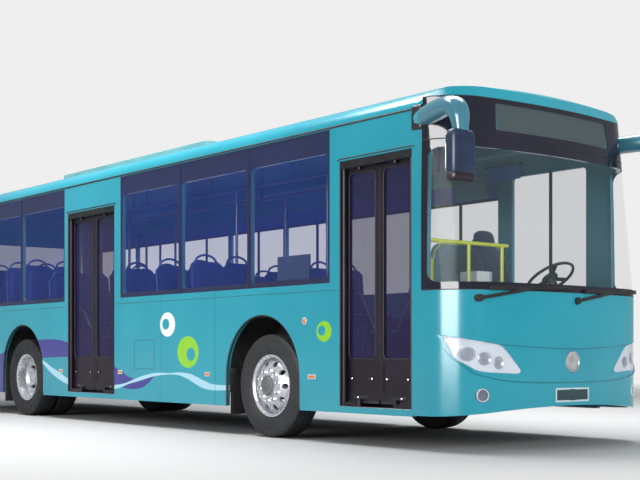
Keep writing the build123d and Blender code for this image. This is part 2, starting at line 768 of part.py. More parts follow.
# ---- floor: low deck with its cut-outs, and the raised deck over the engine ----
with BuildPart() as floor_deck:
    with BuildSketch(Plane.XZ.offset(reach)):
        with BuildLine():
            low = (floor_low_z, floor_z)
            high = (rear_deck_z - floor_thickness, rear_deck_z)
            step = (rear_deck_x, rear_deck_x + floor_thickness)
            Polyline(
                (floor_front_x, low[0]),
                (floor_front_x, low[1]),
                (step[1], low[1]),
                (step[1], high[1]),
                (tail_x, high[1]),
                (tail_x, high[0]),
                (step[0], high[0]),
                (step[0], low[0]),
                close=True,
            )
        make_face()
    extrude(amount=-2 * reach)
    add(cabin_form, mode=Mode.INTERSECT)
    for portal, depth, tread_from in wells:
        block(portal, (-reach, rail_y + depth), (floor_low_z, floor_z), Mode.SUBTRACT)
    for x_from, x_to, inner_y in boxes:
        block((x_from, x_to), (inner_y, reach), (floor_low_z, floor_z), Mode.SUBTRACT)
        block((x_from, x_to), (-reach, -inner_y), (floor_low_z, floor_z), Mode.SUBTRACT)

# ---- wheels: steel disc wheels, dished outward in front and paired with opposed dishes behind ----
rim_lip = rim_radius + 16
rim_half = tyre_width / 2 - 22
bead_half = rim_half - 13
rim_seat = rim_radius - glass_seat
disc_thickness = 14
disc_face = 128
hub_bore = 45
hub_outer = 118
hand_hole = 26
hand_hole_circle = rim_radius - 70
hand_holes = 10
hub_length = 150


def wheel_rim():
    """Rim, disc and hub of one wheel; the disc bulges toward +Y and the hub reaches back."""
    barrel = [
        # radius, distance from the wheel's middle
        (rim_lip, rim_half),
        (rim_seat, bead_half),
        (rim_seat, -bead_half),
        (rim_lip, -rim_half),
        (rim_lip - disc_thickness, -rim_half),
        (rim_seat - disc_thickness, -bead_half),
        (rim_seat - disc_thickness, bead_half),
        (rim_lip - disc_thickness, rim_half),
    ]
    disc = [
        # radius, distance from the wheel's middle toward the dished side
        (rim_seat - disc_thickness + 4, 10),
        (rim_seat - disc_thickness + 4, 36),
        (hand_hole_circle + 14, disc_face - 34),
        (hand_hole_circle - 38, disc_face),
        (hub_outer - 6, disc_face),
        (hub_outer - 14, disc_face + 18),
        (hub_bore, disc_face + 18),
        (hub_bore, disc_face - hub_length),
        (hub_outer - 20, disc_face - hub_length),
        (hub_outer, disc_face - disc_thickness),
        (hand_hole_circle - 44, disc_face - disc_thickness),
        (hand_hole_circle, disc_face - 34 - disc_thickness),
    ]
    with BuildPart() as rim:
        with BuildSketch(Plane.XY):
            with BuildLine():
                Polyline(*[(radius, along) for radius, along in barrel], close=True)
            make_face()
            with BuildLine():
                Polyline(*[(radius, along) for radius, along in disc], close=True)
            make_face()
        revolve(axis=Axis.Y)
        with BuildSketch(Plane.XZ):
            with PolarLocations(hand_hole_circle, hand_holes):
                Circle(hand_hole)
        extrude(amount=-rim_half - disc_face, mode=Mode.SUBTRACT)
    return rim.part


def wheel_tyre():
    """Tyre section turned about the wheel's axle, its bead just off the rim."""
    section = [
        # radius, distance from the wheel's middle
        (rim_radius, -bead_half),
        (rim_radius, bead_half),
        (tyre_radius - 62, tyre_width / 2),
        (tyre_radius, tyre_width / 2 - 22),
        (tyre_radius, 22 - tyre_width / 2),
        (tyre_radius - 62, -tyre_width / 2),
    ]
    with BuildPart() as tyre:
        with BuildSketch(Plane.XY):
            with BuildLine():
                Polyline(*section, close=True)
            make_face()
        revolve(axis=Axis.Y)
    return tyre.part


tyre_form = wheel_tyre()
rim_form = wheel_rim()
wheels = [
    # name, axle x, side, tyre places across the bus, ways the discs bulge
    ("front_left", front_axle_x, 1, (front_wheel_y,), (1,)),
    ("front_right", front_axle_x, -1, (front_wheel_y,), (1,)),
    ("rear_left", rear_axle_x, 1, (rear_outer_y, rear_inner_y), (-1, 1)),
    ("rear_right", rear_axle_x, -1, (rear_outer_y, rear_inner_y), (-1, 1)),
]
for name, axle_x, side, places, bulges in wheels:
    with BuildPart() as tyre:
        for place in places:
            add(tyre_form.moved(Location((axle_x, side * place, hub_z))))
    tyre.part.label = f"tyre_{name}"
    export_step(tyre.part, f"parts/tyre_{name}.step")
    with BuildPart() as rim:
        for place, bulge in zip(places, bulges):
            turned = rim_form if side * bulge > 0 else rim_form.mirror(Plane.XZ)
            add(turned.moved(Location((axle_x, side * place, hub_z))))
    rim.part.label = f"rim_{name}"
    export_step(rim.part, f"parts/rim_{name}.step")

# ---- chassis frame: two channel rails and the cross-members that carry the floor ----
channel = 9
cabin_half = half_width - wall
cross_rows = [
    # x, half-length across the bus
    (front_portal[0] - 165, cabin_half),
    (front_box[0] - 140, cabin_half),
    (front_box[0] - 890, cabin_half),
    (front_box[0] - 1640, cabin_half),
    (middle_portal[1] + 95, cabin_half),
    (middle_portal[0] - 105, cabin_half),
    (rear_axle_x + rear_box_half + 75, cabin_half),
    (rear_axle_x - rear_box_half - 55, cabin_half),
    (rear_deck_x - 40, cabin_half),
]
tow_bore = 21
tow_reach = 45
tow_half_width = 60
tow_front_z = (rail_low_z + 30, rail_low_z + 90)
tow_rear_z = (cross_low_z, floor_z - floor_thickness)
end_member_x = (rail_rear_x - glass_seat - cross_length, rail_rear_x - glass_seat)
between_rails = (glass_seat - rail_inner_y, rail_inner_y - glass_seat)
tow_lugs = [
    # face it stands on, way it points, heights
    (rail_front_x, 1, tow_front_z),
    (end_member_x[0], -1, tow_rear_z),
]
with BuildPart() as chassis_frame:
    with BuildSketch(Plane.YZ.offset(rail_rear_x)):
        for side in (-1, 1):
            ends = sorted((side * rail_inner_y, side * rail_outer_y))
            web = sorted((side * (rail_inner_y + channel), side * (rail_outer_y + 1)))
            pane(ends, (rail_low_z, floor_low_z))
            pane(web, (rail_low_z + channel, floor_low_z - channel), mode=Mode.SUBTRACT)
    extrude(amount=rail_front_x - rail_rear_x)
    # Cross-members between the rails and outriggers from each rail to the wall, all under the floor.
    for x, half in cross_rows:
        span_x = (x - cross_length / 2, x + cross_length / 2)
        block(span_x, between_rails, (cross_low_z, floor_low_z))
        for side in (-1, 1):
            span_y = sorted((side * (rail_outer_y + glass_seat), side * half))
            block(span_x, span_y, (cross_low_z, floor_low_z))
    block(end_member_x, (50 - cabin_half, cabin_half - 50), (cross_low_z, floor_low_z))
    block((rail_front_x - 100, rail_front_x), between_rails, tow_front_z)
    # Tow eyes: a bored lug ahead of the front cross-bar and one behind the end member.
    for foot_x, way, lug_z in tow_lugs:
        lug_x = sorted((foot_x + way * glass_seat, foot_x + way * 2 * tow_reach))
        block(lug_x, (-tow_half_width, tow_half_width), lug_z)
        with BuildSketch(Plane.XY.offset(lug_z[0])):
            with Locations((foot_x + way * tow_reach, 0)):
                Circle(tow_bore)
        extrude(amount=lug_z[1] - lug_z[0], mode=Mode.SUBTRACT)

# ---- engine: one heavy block between the rails ----
engine_step_room = 107
engine_x = (tail_x + 250, rear_deck_x - engine_step_room)
engine_z = (400, rear_deck_z - floor_thickness - 10)
with BuildPart() as engine_block:
    block(engine_x, (-rail_inner_y, rail_inner_y), engine_z)
    chamfer(engine_block.edges().filter_by(Axis.X), 60)

# ---- front axle: dropped beam with kingpin eyes, and the knuckles that carry the wheels ----
eye_radius = 46
eye_half = 58
kingpin_radius = 21
beam_half_width = 48
beam_low_z = hub_z - 115
beam_high_z = hub_z - 5
beam_end_y = kingpin_y - 155
yoke_gap = 1
yoke_height = 34
spindle_radius = hub_bore - pivot_clearance
with BuildPart() as front_axle:
    with BuildSketch(Plane.YZ.offset(front_axle_x - beam_half_width)):
        with BuildLine():
            Polyline(
                (-beam_end_y + 120, beam_low_z),
                (beam_end_y - 120, beam_low_z),
                (beam_end_y, hub_z - eye_half),
                (kingpin_y - eye_radius / 2, hub_z - eye_half),
                (kingpin_y - eye_radius / 2, hub_z + eye_half - 20),
                (beam_end_y - 60, hub_z + eye_half - 20),
                (beam_end_y - 180, beam_high_z),
                (-beam_end_y + 180, beam_high_z),
                (-beam_end_y + 60, hub_z + eye_half - 20),
                (-kingpin_y + eye_radius / 2, hub_z + eye_half - 20),
                (-kingpin_y + eye_radius / 2, hub_z - eye_half),
                (-beam_end_y, hub_z - eye_half),
                close=True,
            )
        make_face()
    extrude(amount=2 * beam_half_width)
    for side in (-1, 1):
        with BuildSketch(Plane.XY.offset(hub_z - eye_half)):
            with Locations((front_axle_x, side * kingpin_y)):
                Circle(eye_radius)
        extrude(amount=2 * eye_half)
        with BuildSketch(Plane.XY.offset(hub_z - eye_half)):
            with Locations((front_axle_x, side * kingpin_y)):
                Circle(kingpin_radius + pivot_clearance)
        extrude(amount=2 * eye_half, mode=Mode.SUBTRACT)

# ---- steering: yoked knuckles, their arms and the tie rod behind the axle ----
arm_back = 190
arm_z = hub_z - eye_half - yoke_gap - yoke_height
tie_pin = 12
tie_radius = 17
tie_eye_radius = 32
tie_eye_half = 20
web_y = (kingpin_y + eye_radius + 4, kingpin_y + eye_radius + 30)
rod_z = arm_z - 30
for name, side in (("left", 1), ("right", -1)):
    with BuildPart() as knuckle:
        for low_z in (arm_z, hub_z + eye_half + yoke_gap):
            with BuildSketch(Plane.XY.offset(low_z)):
                with Locations((front_axle_x, side * kingpin_y)):
                    Circle(eye_radius)
                ends = sorted((side * kingpin_y, side * web_y[1]))
                pane((front_axle_x - eye_radius, front_axle_x + eye_radius), ends)
            extrude(amount=yoke_height)
        web = sorted((side * web_y[0], side * web_y[1]))
        top_z = hub_z + eye_half + yoke_gap + yoke_height
        block((front_axle_x - eye_radius, front_axle_x + eye_radius), web, (arm_z, top_z))
        with BuildSketch(Plane.XY.offset(arm_z)):
            with Locations((front_axle_x, side * kingpin_y)):
                Circle(kingpin_radius)
        extrude(amount=top_z - arm_z)
        with BuildSketch(Plane.XZ.offset(-side * web_y[1])):
            with Locations((front_axle_x, hub_z)):
                Circle(spindle_radius)
        spindle_end = front_wheel_y + disc_face + 10
        extrude(amount=-side * (spindle_end - web_y[1]))
        tip = (front_axle_x - arm_back, side * kingpin_y)
        middle = (front_axle_x - arm_back / 2, side * kingpin_y)
        with BuildSketch(Plane.XY.offset(arm_z)):
            SlotCenterPoint(middle, tip, 48)
        extrude(amount=yoke_height - 8)
        with BuildSketch(Plane.XY.offset(rod_z - 20)):
            with Locations(tip):
                Circle(tie_pin)
        extrude(amount=arm_z - rod_z + 20)
    knuckle.part.label = f"steering_knuckle_{name}"
    export_step(knuckle.part, f"parts/steering_knuckle_{name}.step")

tie_x = front_axle_x - arm_back
with BuildPart() as tie_rod:
    with BuildSketch(Plane.XZ.offset(-kingpin_y)):
        with Locations((tie_x, rod_z)):
            Circle(tie_radius)
    extrude(amount=2 * kingpin_y)
    for side in (-1, 1):
        with BuildSketch(Plane.XY.offset(rod_z - tie_eye_half)):
            with Locations((tie_x, side * kingpin_y)):
                Circle(tie_eye_radius)
        extrude(amount=2 * tie_eye_half)
        with BuildSketch(Plane.XY.offset(rod_z - tie_eye_half)):
            with Locations((tie_x, side * kingpin_y)):
                Circle(tie_pin + pivot_clearance)
        extrude(amount=2 * tie_eye_half, mode=Mode.SUBTRACT)

# ---- rear axle: tubular housing with its drive head and the fixed spindles ----
housing_radius = 78
with BuildPart() as rear_axle:
    with BuildSketch(Plane.XZ.offset(-rear_inner_y + 60)):
        with Locations((rear_axle_x, hub_z)):
            Circle(housing_radius)
    extrude(amount=2 * (rear_inner_y - 60))
    with BuildSketch(Plane.XZ.offset(-rear_outer_y - 20)):
        with Locations((rear_axle_x, hub_z)):
            Circle(spindle_radius)
    extrude(amount=2 * (rear_outer_y + 20))
    with BuildSketch(Plane.YZ.offset(rear_axle_x - 170)):
        with Locations((0, hub_z)):
            Circle(190)
    extrude(amount=340)
    chamfer(rear_axle.edges().filter_by(GeomType.CIRCLE).group_by(Axis.X)[0], 60)

# ---- suspension: air springs, seated on the front beam and on trailing beams under the rear axle ----
spring_radius = 110
spring_y = (rail_inner_y + rail_outer_y) / 2
trail_reach = 440
trail_height = 45
with BuildPart() as suspension:
    for side in (-1, 1):
        with BuildSketch(Plane.XY.offset(beam_high_z)):
            with Locations((front_axle_x, side * spring_y)):
                Circle(spring_radius)
        extrude(amount=rail_low_z - beam_high_z)
        trail_z = (hub_z - housing_radius - trail_height, hub_z - housing_radius)
        trail_y = (side * spring_y - 45, side * spring_y + 45)
        block((rear_axle_x - trail_reach, rear_axle_x + trail_reach), trail_y, trail_z)
        with BuildSketch(Plane.XY.offset(trail_z[1])):
            with Locations((rear_axle_x, side * spring_y)):
                with GridLocations(2 * trail_reach - 120, 1, 2, 1):
                    Circle(spring_radius)
        extrude(amount=rail_low_z - trail_z[1])

# ---- tanks and exhaust hung under the cross-members ----
tank_x = (front_box[0] - 1590, front_box[0] - 190)
tank_y = (rail_outer_y + 150, cabin_half - 80)
tank_low_z = 380
with BuildPart() as fuel_tank:
    block(tank_x, tank_y, (tank_low_z, cross_low_z))
    fillet(fuel_tank.edges().filter_by(Axis.X), 50)

silencer_x = tail_x + 607
silencer_length = 900
silencer_radius = 140
exhaust_y = rail_outer_y + 290
tailpipe_radius = 42
with BuildPart() as exhaust:
    with BuildSketch(Plane.YZ.offset(silencer_x)):
        with Locations((exhaust_y, cross_low_z - silencer_radius)):
            Circle(silencer_radius)
    extrude(amount=silencer_length)
    with BuildSketch(Plane.YZ.offset(tail_x + 57)):
        with Locations((exhaust_y, cross_low_z - 2 * silencer_radius + 10)):
            Circle(tailpipe_radius)
    extrude(amount=silencer_x - tail_x + 93)

# ---- roof unit and emergency hatch ----
unit_x = (tail_x + 2872, hatch_x[0] - hatch_curb - 100)
unit_half = 700
unit_z = roof_z + 140
with BuildPart() as roof_unit:
    with BuildSketch(Plane.XY.offset(gutter_z)):
        pane(unit_x, (-unit_half, unit_half), 120)
    extrude(amount=unit_z - gutter_z, taper=6)
    add(skin, mode=Mode.SUBTRACT)

with BuildPart() as roof_hatch:
    with BuildSketch(Plane.XY.offset(hatch_curb_z + hatch_gap)):
        lid_x = (hatch_x[0] - hatch_curb, hatch_x[1] + hatch_curb)
        pane(lid_x, (-hatch_half - hatch_curb, hatch_half + hatch_curb), 60)
    extrude(amount=hatch_lid_z - hatch_curb_z - hatch_gap, taper=20)
    for hinge_y in hatch_hinge_y:
        with BuildSketch(Plane.XZ.offset(-hinge_y - strap_half)):
            with Locations((hatch_pin_x, hatch_pin_z)):
                Circle(hatch_knuckle)
            pane((hatch_pin_x - 60, hatch_pin_x), (hatch_curb_z + hatch_gap, hatch_pin_z + hatch_knuckle))
        extrude(amount=2 * strap_half)
        with BuildSketch(Plane.XZ.offset(-hinge_y - knuckle_half)):
            with Locations((hatch_pin_x, hatch_pin_z)):
                Circle(hatch_pin)
        extrude(amount=2 * knuckle_half)

# ---- seats: moulded shells on pedestals, two abreast ----
seat_width = 400
seat_pitch_y = 408
seat_pitch_x = 700
seat_centre_y = cabin_half - 412
seat_depth = 420
seat_rise = 430
back_rise = 570
back_lean = 60
tail_row_x = tail_x + 330
first_row_x = front_box[0] - 590


def seat_places(first_x, last_x):
    """Rows from one place back to another, as many as the seat pitch allows."""
    gaps = int((first_x - last_x) / seat_pitch_x)
    return [first_x - step * (first_x - last_x) / gaps for step in range(gaps + 1)]


seat_rows = [
    # x of the back's foot, side, deck height
    (rear_axle_x + rear_box_half + 135, -1, floor_z),
]
for x in seat_places(first_row_x, rear_axle_x + rear_box_half + 175):
    seat_rows.append((x, 1, floor_z))
for x in seat_places(first_row_x, middle_portal[1] + 235):
    seat_rows.append((x, -1, floor_z))
for side in (-1, 1):
    seat_rows.append((rear_axle_x + 65, side, box_high_z))
    seat_rows.append((rear_axle_x - 485, side, box_high_z))
    seat_rows.append((rear_deck_x + 250, side, floor_z))
    seat_rows.append((rear_deck_x - 550, side, rear_deck_z))
    seat_rows.append((tail_row_x, side, rear_deck_z))
pan_back = -50
pan_front = seat_depth
pan_thickness = 60
back_corner = 70
beam_half = 260
leg_half = 80


def seat_unit(offsets):
    """Seats side by side on one beam and leg; the seat pans' tops at Z = 0, their backs toward -X."""
    with BuildPart() as unit:
        for offset_y in offsets:
            with BuildSketch(Plane.XZ.offset(seat_width / 2 - offset_y)) as pan:
                with BuildLine():
                    Polyline(
                        (pan_back, -pan_thickness),
                        (pan_front - 40, 15 - pan_thickness),
                        (pan_front, -20),
                        (pan_front, 10),
                        (pan_front - 20, 20),
                        (pan_back, 0),
                        close=True,
                    )
                make_face()
            extrude(pan.sketch, amount=-seat_width)
        back_foot = pan_back - glass_seat
        with BuildSketch(Plane.XZ.offset(offsets[-1] + seat_width)) as back:
            with BuildLine():
                Polyline(
                    (back_foot, -pan_thickness),
                    (back_foot - back_lean, back_rise - 40),
                    (back_foot - back_lean - 15, back_rise - 12),
                    (back_foot - back_lean - 36, back_rise - 20),
                    (back_foot - 45, -pan_thickness),
                    close=True,
                )
            make_face()
        with BuildPart(mode=Mode.PRIVATE) as backs:
            extrude(back.sketch, amount=-2 * offsets[-1] - 2 * seat_width)
            with BuildSketch(Plane.YZ.offset(back_foot - 2 * back_lean)) as front_view:
                for offset_y in offsets:
                    sides = (offset_y - seat_width / 2, offset_y + seat_width / 2)
                    pane(sides, (-pan_thickness, back_rise))
                chamfer(front_view.vertices().group_by(Axis.Y)[-1], back_corner)
            extrude(front_view.sketch, amount=3 * back_lean, mode=Mode.INTERSECT)
        add(backs.part)
        beam_y = (offsets[0] - 56, offsets[-1] + 56)
        beam_top = glass_seat - pan_thickness + 3
        block((60, 340), beam_y, (-90, beam_top))
        block((120, 260), (-leg_half, leg_half), (-seat_rise, -90 - glass_seat))
    return unit.part


pair_form = seat_unit((-seat_pitch_y / 2, seat_pitch_y / 2))
single_form = seat_unit((0,))
with BuildPart() as passenger_seats:
    for x, side, deck_z in seat_rows:
        rise = seat_rise if deck_z != box_high_z else seat_rise - 200
        with BuildPart(mode=Mode.PRIVATE) as placed:
            add(pair_form.moved(Location((x, side * seat_centre_y, deck_z + rise))))
            room = (side * seat_centre_y - half_width, side * seat_centre_y + half_width)
            block((x - half_width, x + half_width), room, (deck_z - seat_rise, deck_z), Mode.SUBTRACT)
        add(placed.part)
    add(single_form.moved(Location((tail_row_x, 0, rear_deck_z + seat_rise))))

# ---- driver's place ----
driver_y = half_width - 650
driver_x = nose_x - 1400
cushion_z = floor_z + 400
driver_seat_half = 250
seat_box_half = 150
with BuildPart() as driver_seat:
    with BuildSketch(Plane.XZ.offset(-driver_y - driver_seat_half)):
        with BuildLine():
            Polyline(
                (driver_x, cushion_z + 100),
                (driver_x + 470, cushion_z + 130),
                (driver_x + 480, cushion_z + 50),
                (driver_x + 430, cushion_z),
                (driver_x - 60, cushion_z),
                (driver_x - 130, cushion_z + 60),
                (driver_x - 230, cushion_z + 760),
                (driver_x - 190, cushion_z + 845),
                (driver_x - 130, cushion_z + 830),
                close=True,
            )
        make_face()
    extrude(amount=2 * driver_seat_half)
    fillet(driver_seat.edges().filter_by(Axis.Y), 22)
    seat_box_y = (driver_y - seat_box_half, driver_y + seat_box_half)
    block((driver_x + 40, driver_x + 380), seat_box_y, (floor_z, cushion_z + 2))

dash_back_x = nose_x - 625
dash_half = half_width - 100
dash_end_y = 690 - half_width
dash_top_z = screen_low_z - 35
with BuildPart() as dashboard:
    with BuildSketch(Plane.XZ.offset(-dash_half)):
        with BuildLine():
            Polyline(
                (dash_back_x + 120, floor_z),
                (nose_x - 165, floor_z),
                (nose_x - 45, dash_top_z - 10),
                (nose_x - 415, dash_top_z),
                (dash_back_x, dash_top_z - 70),
                (dash_back_x + 40, dash_top_z - 180),
                (dash_back_x + 120, dash_top_z - 220),
                close=True,
            )
        make_face()
    extrude(amount=2 * dash_half)
    step_room_x = (dash_back_x - 10, floor_front_x)
    block(step_room_x, (-reach, dash_end_y), (floor_z, dash_top_z - 60), Mode.SUBTRACT)
    add(body_form(wall + glass_seat), mode=Mode.INTERSECT)

wheel_tilt = 35
wheel_hub = (nose_x - 745, driver_y, screen_low_z + 175)
wheel_radius = 235
wheel_tube = 14
column_axis = Axis(wheel_hub, (-sin(radians(wheel_tilt)), 0, cos(radians(wheel_tilt))))
wheel_plane = Plane(origin=wheel_hub, x_dir=(0, 1, 0), z_dir=column_axis.direction)
wheel_rise = (cos(radians(wheel_tilt)), 0, sin(radians(wheel_tilt)))
with BuildPart() as steering_wheel:
    with BuildSketch(Plane(origin=wheel_hub, x_dir=(0, 1, 0), z_dir=wheel_rise)):
        with Locations((wheel_radius, 0)):
            RegularPolygon(wheel_tube, 6)
    revolve(axis=column_axis)
    with BuildSketch(wheel_plane.offset(-10)):
        for angle in (0, 120, 240):
            with Locations(Rot(0, 0, angle) * Pos(wheel_radius / 2, 0)):
                Rectangle(wheel_radius, 34)
        Circle(55)
    extrude(amount=20)

with BuildPart() as steering_column:
    with BuildSketch(wheel_plane.offset(-10.3)):
        Circle(38)
    extrude(amount=-700)
    add(body_form(wall + glass_seat), mode=Mode.INTERSECT)
    add(dashboard.part, mode=Mode.SUBTRACT)
    block((driver_x, nose_x), (-reach, reach), (0, floor_z), Mode.SUBTRACT)

with BuildPart() as driver_screen:
    with BuildSketch(Plane.YZ.offset(driver_x - 505)):
        pane((180, cabin_half - glass_seat), (floor_z, floor_z + 1100))
    extrude(amount=30)
    fillet(driver_screen.edges().filter_by(Axis.X).group_by(Axis.Z)[-1].sort_by(Axis.Y)[0], 120)

fare_x = (nose_x - 985, nose_x - 705)
fare_y = (-420, -160)
fare_high_z = floor_z + 540
with BuildPart() as fare_box:
    block(fare_x, fare_y, (floor_z, fare_high_z))
    block((fare_x[0] + 40, fare_x[1] - 40), (fare_y[0] + 30, fare_y[1] - 30), (fare_high_z, fare_high_z + 200))

# ---- handrails: posts from floor to a pair of ceiling rails hung from the roof ----
post_radius = 17
rail_height_z = roof_z - 410
rail_run = (rear_deck_x + 100, front_portal[0] - 365)
post_y = seat_centre_y - 443
hangers = 6
post_places = (
    front_box[1] - 780,
    middle_portal[1] + 1155,
    middle_portal[0] - 75,
    rear_axle_x + 465,
)
entry_rail_x = nose_x - 595
entry_rail_z = 1760
entry_rail_y = (110 - half_width, -160)
with BuildPart() as handrails:
    for side in (-1, 1):
        with BuildSketch(Plane.YZ.offset(rail_run[0])):
            with Locations((side * post_y, rail_height_z)):
                Circle(post_radius)
        extrude(amount=rail_run[1] - rail_run[0])
        with BuildSketch(Plane.XY.offset(rail_height_z)):
            with Locations(((rail_run[0] + rail_run[1]) / 2, side * post_y)):
                with GridLocations((rail_run[1] - rail_run[0]) / (hangers - 1), 1, hangers, 1):
                    Circle(post_radius - 1)
        extrude(amount=roof_z - rail_height_z)
        with BuildSketch(Plane.XY.offset(floor_z)):
            for x in post_places:
                with Locations((x, side * post_y)):
                    Circle(post_radius - 1)
        extrude(amount=rail_height_z - floor_z)
    with BuildSketch(Plane.XZ.offset(-entry_rail_y[0])):
        with Locations((entry_rail_x, entry_rail_z)):
            Circle(post_radius)
    extrude(amount=entry_rail_y[0] - entry_rail_y[1])
    with BuildSketch(Plane.XY.offset(floor_z)):
        with Locations((entry_rail_x, entry_rail_y[0] + 490)):
            Circle(post_radius - 1)
    extrude(amount=entry_rail_z - floor_z)
    with BuildSketch(Plane.XY.offset(floor_z)):
        with Locations((entry_rail_x, entry_rail_y[1] - 70)):
            Circle(post_radius - 1)
    extrude(amount=entry_rail_z - floor_z)
    add(body_form(wall + glass_seat), mode=Mode.INTERSECT)
    add(dashboard.part, mode=Mode.SUBTRACT)

# ---- mirrors: heads hung on broad arched arms that stand out ahead of the front corners ----
mirror_y = half_width + 120
mirror_z = (roof_z - 890, roof_z - 490)
mirror_front_x = nose_x + mirror_reach
mirror_x = (mirror_front_x - 120, mirror_front_x)
mirror_width = 250
mirror_round = 40
mirror_edge = 14
arm_thickness = 52
arm_breadth = 76
arm_root = (nose_x - 615, half_width - 60, roof_z - 285)
arm_crest_z = roof_z - 238
stem_x = mirror_front_x - arm_thickness - 8
arm_run = (stem_x - arm_root[0], mirror_y - arm_root[1])
arm_length = sqrt(arm_run[0] ** 2 + arm_run[1] ** 2)
arm_side = (arm_run[1], -arm_run[0], 0)
with BuildPart() as mirror_head:
    with BuildSketch(Plane.XY.offset(mirror_z[0])):
        pane(mirror_x, (mirror_y - mirror_width / 2, mirror_y + mirror_width / 2), mirror_round)
    extrude(amount=mirror_z[1] - mirror_z[0])
    chamfer(mirror_head.faces().filter_by(Axis.Z).edges(), mirror_edge)
with BuildPart() as mirror_arm:
    root = (arm_root[0], arm_root[1], 0)
    with BuildLine(Plane(origin=root, x_dir=(arm_run[0], arm_run[1], 0), z_dir=arm_side)) as arm_path:
        FilletPolyline(
            (0, arm_root[2]),
            (0.45 * arm_length, arm_crest_z),
            (arm_length, arm_crest_z - 22),
            (arm_length, mirror_z[1] - mirror_edge),
            radius=120,
        )
    arm_start = Plane(origin=arm_path.line @ 0, x_dir=arm_side, z_dir=arm_path.line % 0)
    with BuildSketch(arm_start):
        Ellipse(arm_breadth, arm_thickness)
    sweep(path=arm_path.line)
with BuildPart() as mirrors:
    add(mirror_head.part)
    add(mirror_arm.part)
    mirror(about=Plane.XZ)
    add(skin, mode=Mode.SUBTRACT)

# ---- every remaining piece is named and written out ----
with BuildPart() as dark_bars:
    add(window_bars.part)
    add(door_headers.part)
with BuildPart() as front_lamps:
    add(headlamps.part)
    add(fog_lamps.part)
with BuildPart() as driver_console:
    add(dashboard.part)
    add(steering_column.part)
pieces = {
    "side_panel_right": side_panel_right,
    "side_panel_left": side_panel_left,
    "side_windows": side_windows,
    "window_bars": dark_bars,
    "roof_panel": roof_panel,
    "front_mask": front_mask,
    "front_bumper": front_bumper,
    "windscreen": windscreen,
    "destination_sign": destination_sign,
    "headlamps": front_lamps,
    "wipers": wipers_whole,
    "rear_panel": rear_panel,
    "rear_window": rear_window,
    "tail_lamps": tail_lamps,
    "rear_bumper": rear_bumper,
    "engine_lid": engine_lid,
    "step_wells": step_wells,
    "wheel_boxes": wheel_boxes,
    "floor_deck": floor_deck,
    "chassis_frame": chassis_frame,
    "engine_block": engine_block,
    "front_axle": front_axle,
    "tie_rod": tie_rod,
    "rear_axle": rear_axle,
    "suspension": suspension,
    "fuel_tank": fuel_tank,
    "exhaust": exhaust,
    "roof_unit": roof_unit,
    "roof_hatch": roof_hatch,
    "passenger_seats": passenger_seats,
    "handrails": handrails,
    "driver_seat": driver_seat,
    "dashboard": driver_console,
    "steering_wheel": steering_wheel,
    "driver_screen": driver_screen,
    "fare_box": fare_box,
    "mirrors": mirrors,
}
for name, piece in pieces.items():
    piece.part.label = name
    export_step(piece.part, f"parts/{name}.step")
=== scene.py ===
from math import radians, sqrt

import bmesh
import bpy
import numpy as np
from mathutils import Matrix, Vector


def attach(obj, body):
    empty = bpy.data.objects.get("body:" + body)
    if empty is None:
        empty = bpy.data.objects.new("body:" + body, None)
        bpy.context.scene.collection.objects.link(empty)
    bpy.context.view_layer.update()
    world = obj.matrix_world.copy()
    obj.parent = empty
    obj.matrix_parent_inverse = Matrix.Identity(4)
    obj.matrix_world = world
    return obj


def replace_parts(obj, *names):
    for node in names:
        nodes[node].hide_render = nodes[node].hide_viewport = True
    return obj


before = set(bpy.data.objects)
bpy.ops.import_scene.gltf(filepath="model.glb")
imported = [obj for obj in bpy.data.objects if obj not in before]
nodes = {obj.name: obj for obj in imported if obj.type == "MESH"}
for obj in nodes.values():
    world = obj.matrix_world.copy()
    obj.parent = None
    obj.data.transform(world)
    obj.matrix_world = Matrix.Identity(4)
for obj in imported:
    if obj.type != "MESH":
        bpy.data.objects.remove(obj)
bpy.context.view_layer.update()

# ---- Camera, studio floor and lights ----
# A long lens at waist height looks across the kerb-side front corner. The pale floor runs
# out into a plain white surround, lit from above and both near sides by soft panels; a tall
# strip that only shows in gloss draws the broad highlight down the front corner.
camera_data = bpy.data.cameras.new("camera")
camera_data.sensor_width = 36
camera_data.lens = 67.32
camera_data.shift_y = 0.1766
camera_data.clip_end = 400
camera = bpy.data.objects.new("camera", camera_data)
camera.location = (12.0185, -8.1326, 0.8156)
camera.rotation_euler = (radians(90), 0, radians(50.768))
bpy.context.scene.collection.objects.link(camera)
bpy.context.scene.camera = camera
bpy.context.scene.view_settings.view_transform = "Standard"

surround_white = (0.86, 0.86, 0.86, 1)
surround_grey = (0.62, 0.64, 0.66, 1)


def add_node(material, kind, inputs=None, **settings):
    """One shader node; inputs maps a socket's name or number to a value or to another socket."""
    node = material.node_tree.nodes.new(kind)
    for name, value in settings.items():
        setattr(node, name, value)
    for socket, value in (inputs or {}).items():
        if isinstance(value, bpy.types.NodeSocket):
            material.node_tree.links.new(value, node.inputs[socket])
        else:
            node.inputs[socket].default_value = value
    return node


world = bpy.data.worlds.new("studio")
bpy.context.scene.world = world
world.use_nodes = True
world.node_tree.nodes.clear()
paths = add_node(world, "ShaderNodeLightPath")
seen = add_node(
    world, "ShaderNodeMath", {0: paths.outputs["Is Camera Ray"], 1: paths.outputs["Is Transmission Ray"]},
    operation="MAXIMUM",
)
white_view = add_node(world, "ShaderNodeBackground", {"Color": surround_white, "Strength": 1.0})
soft_light = add_node(world, "ShaderNodeBackground", {"Color": surround_grey, "Strength": 0.62})
blend = add_node(
    world, "ShaderNodeMixShader",
    {0: seen.outputs[0], 1: soft_light.outputs[0], 2: white_view.outputs[0]},
)
add_node(world, "ShaderNodeOutputWorld", {"Surface": blend.outputs[0]})

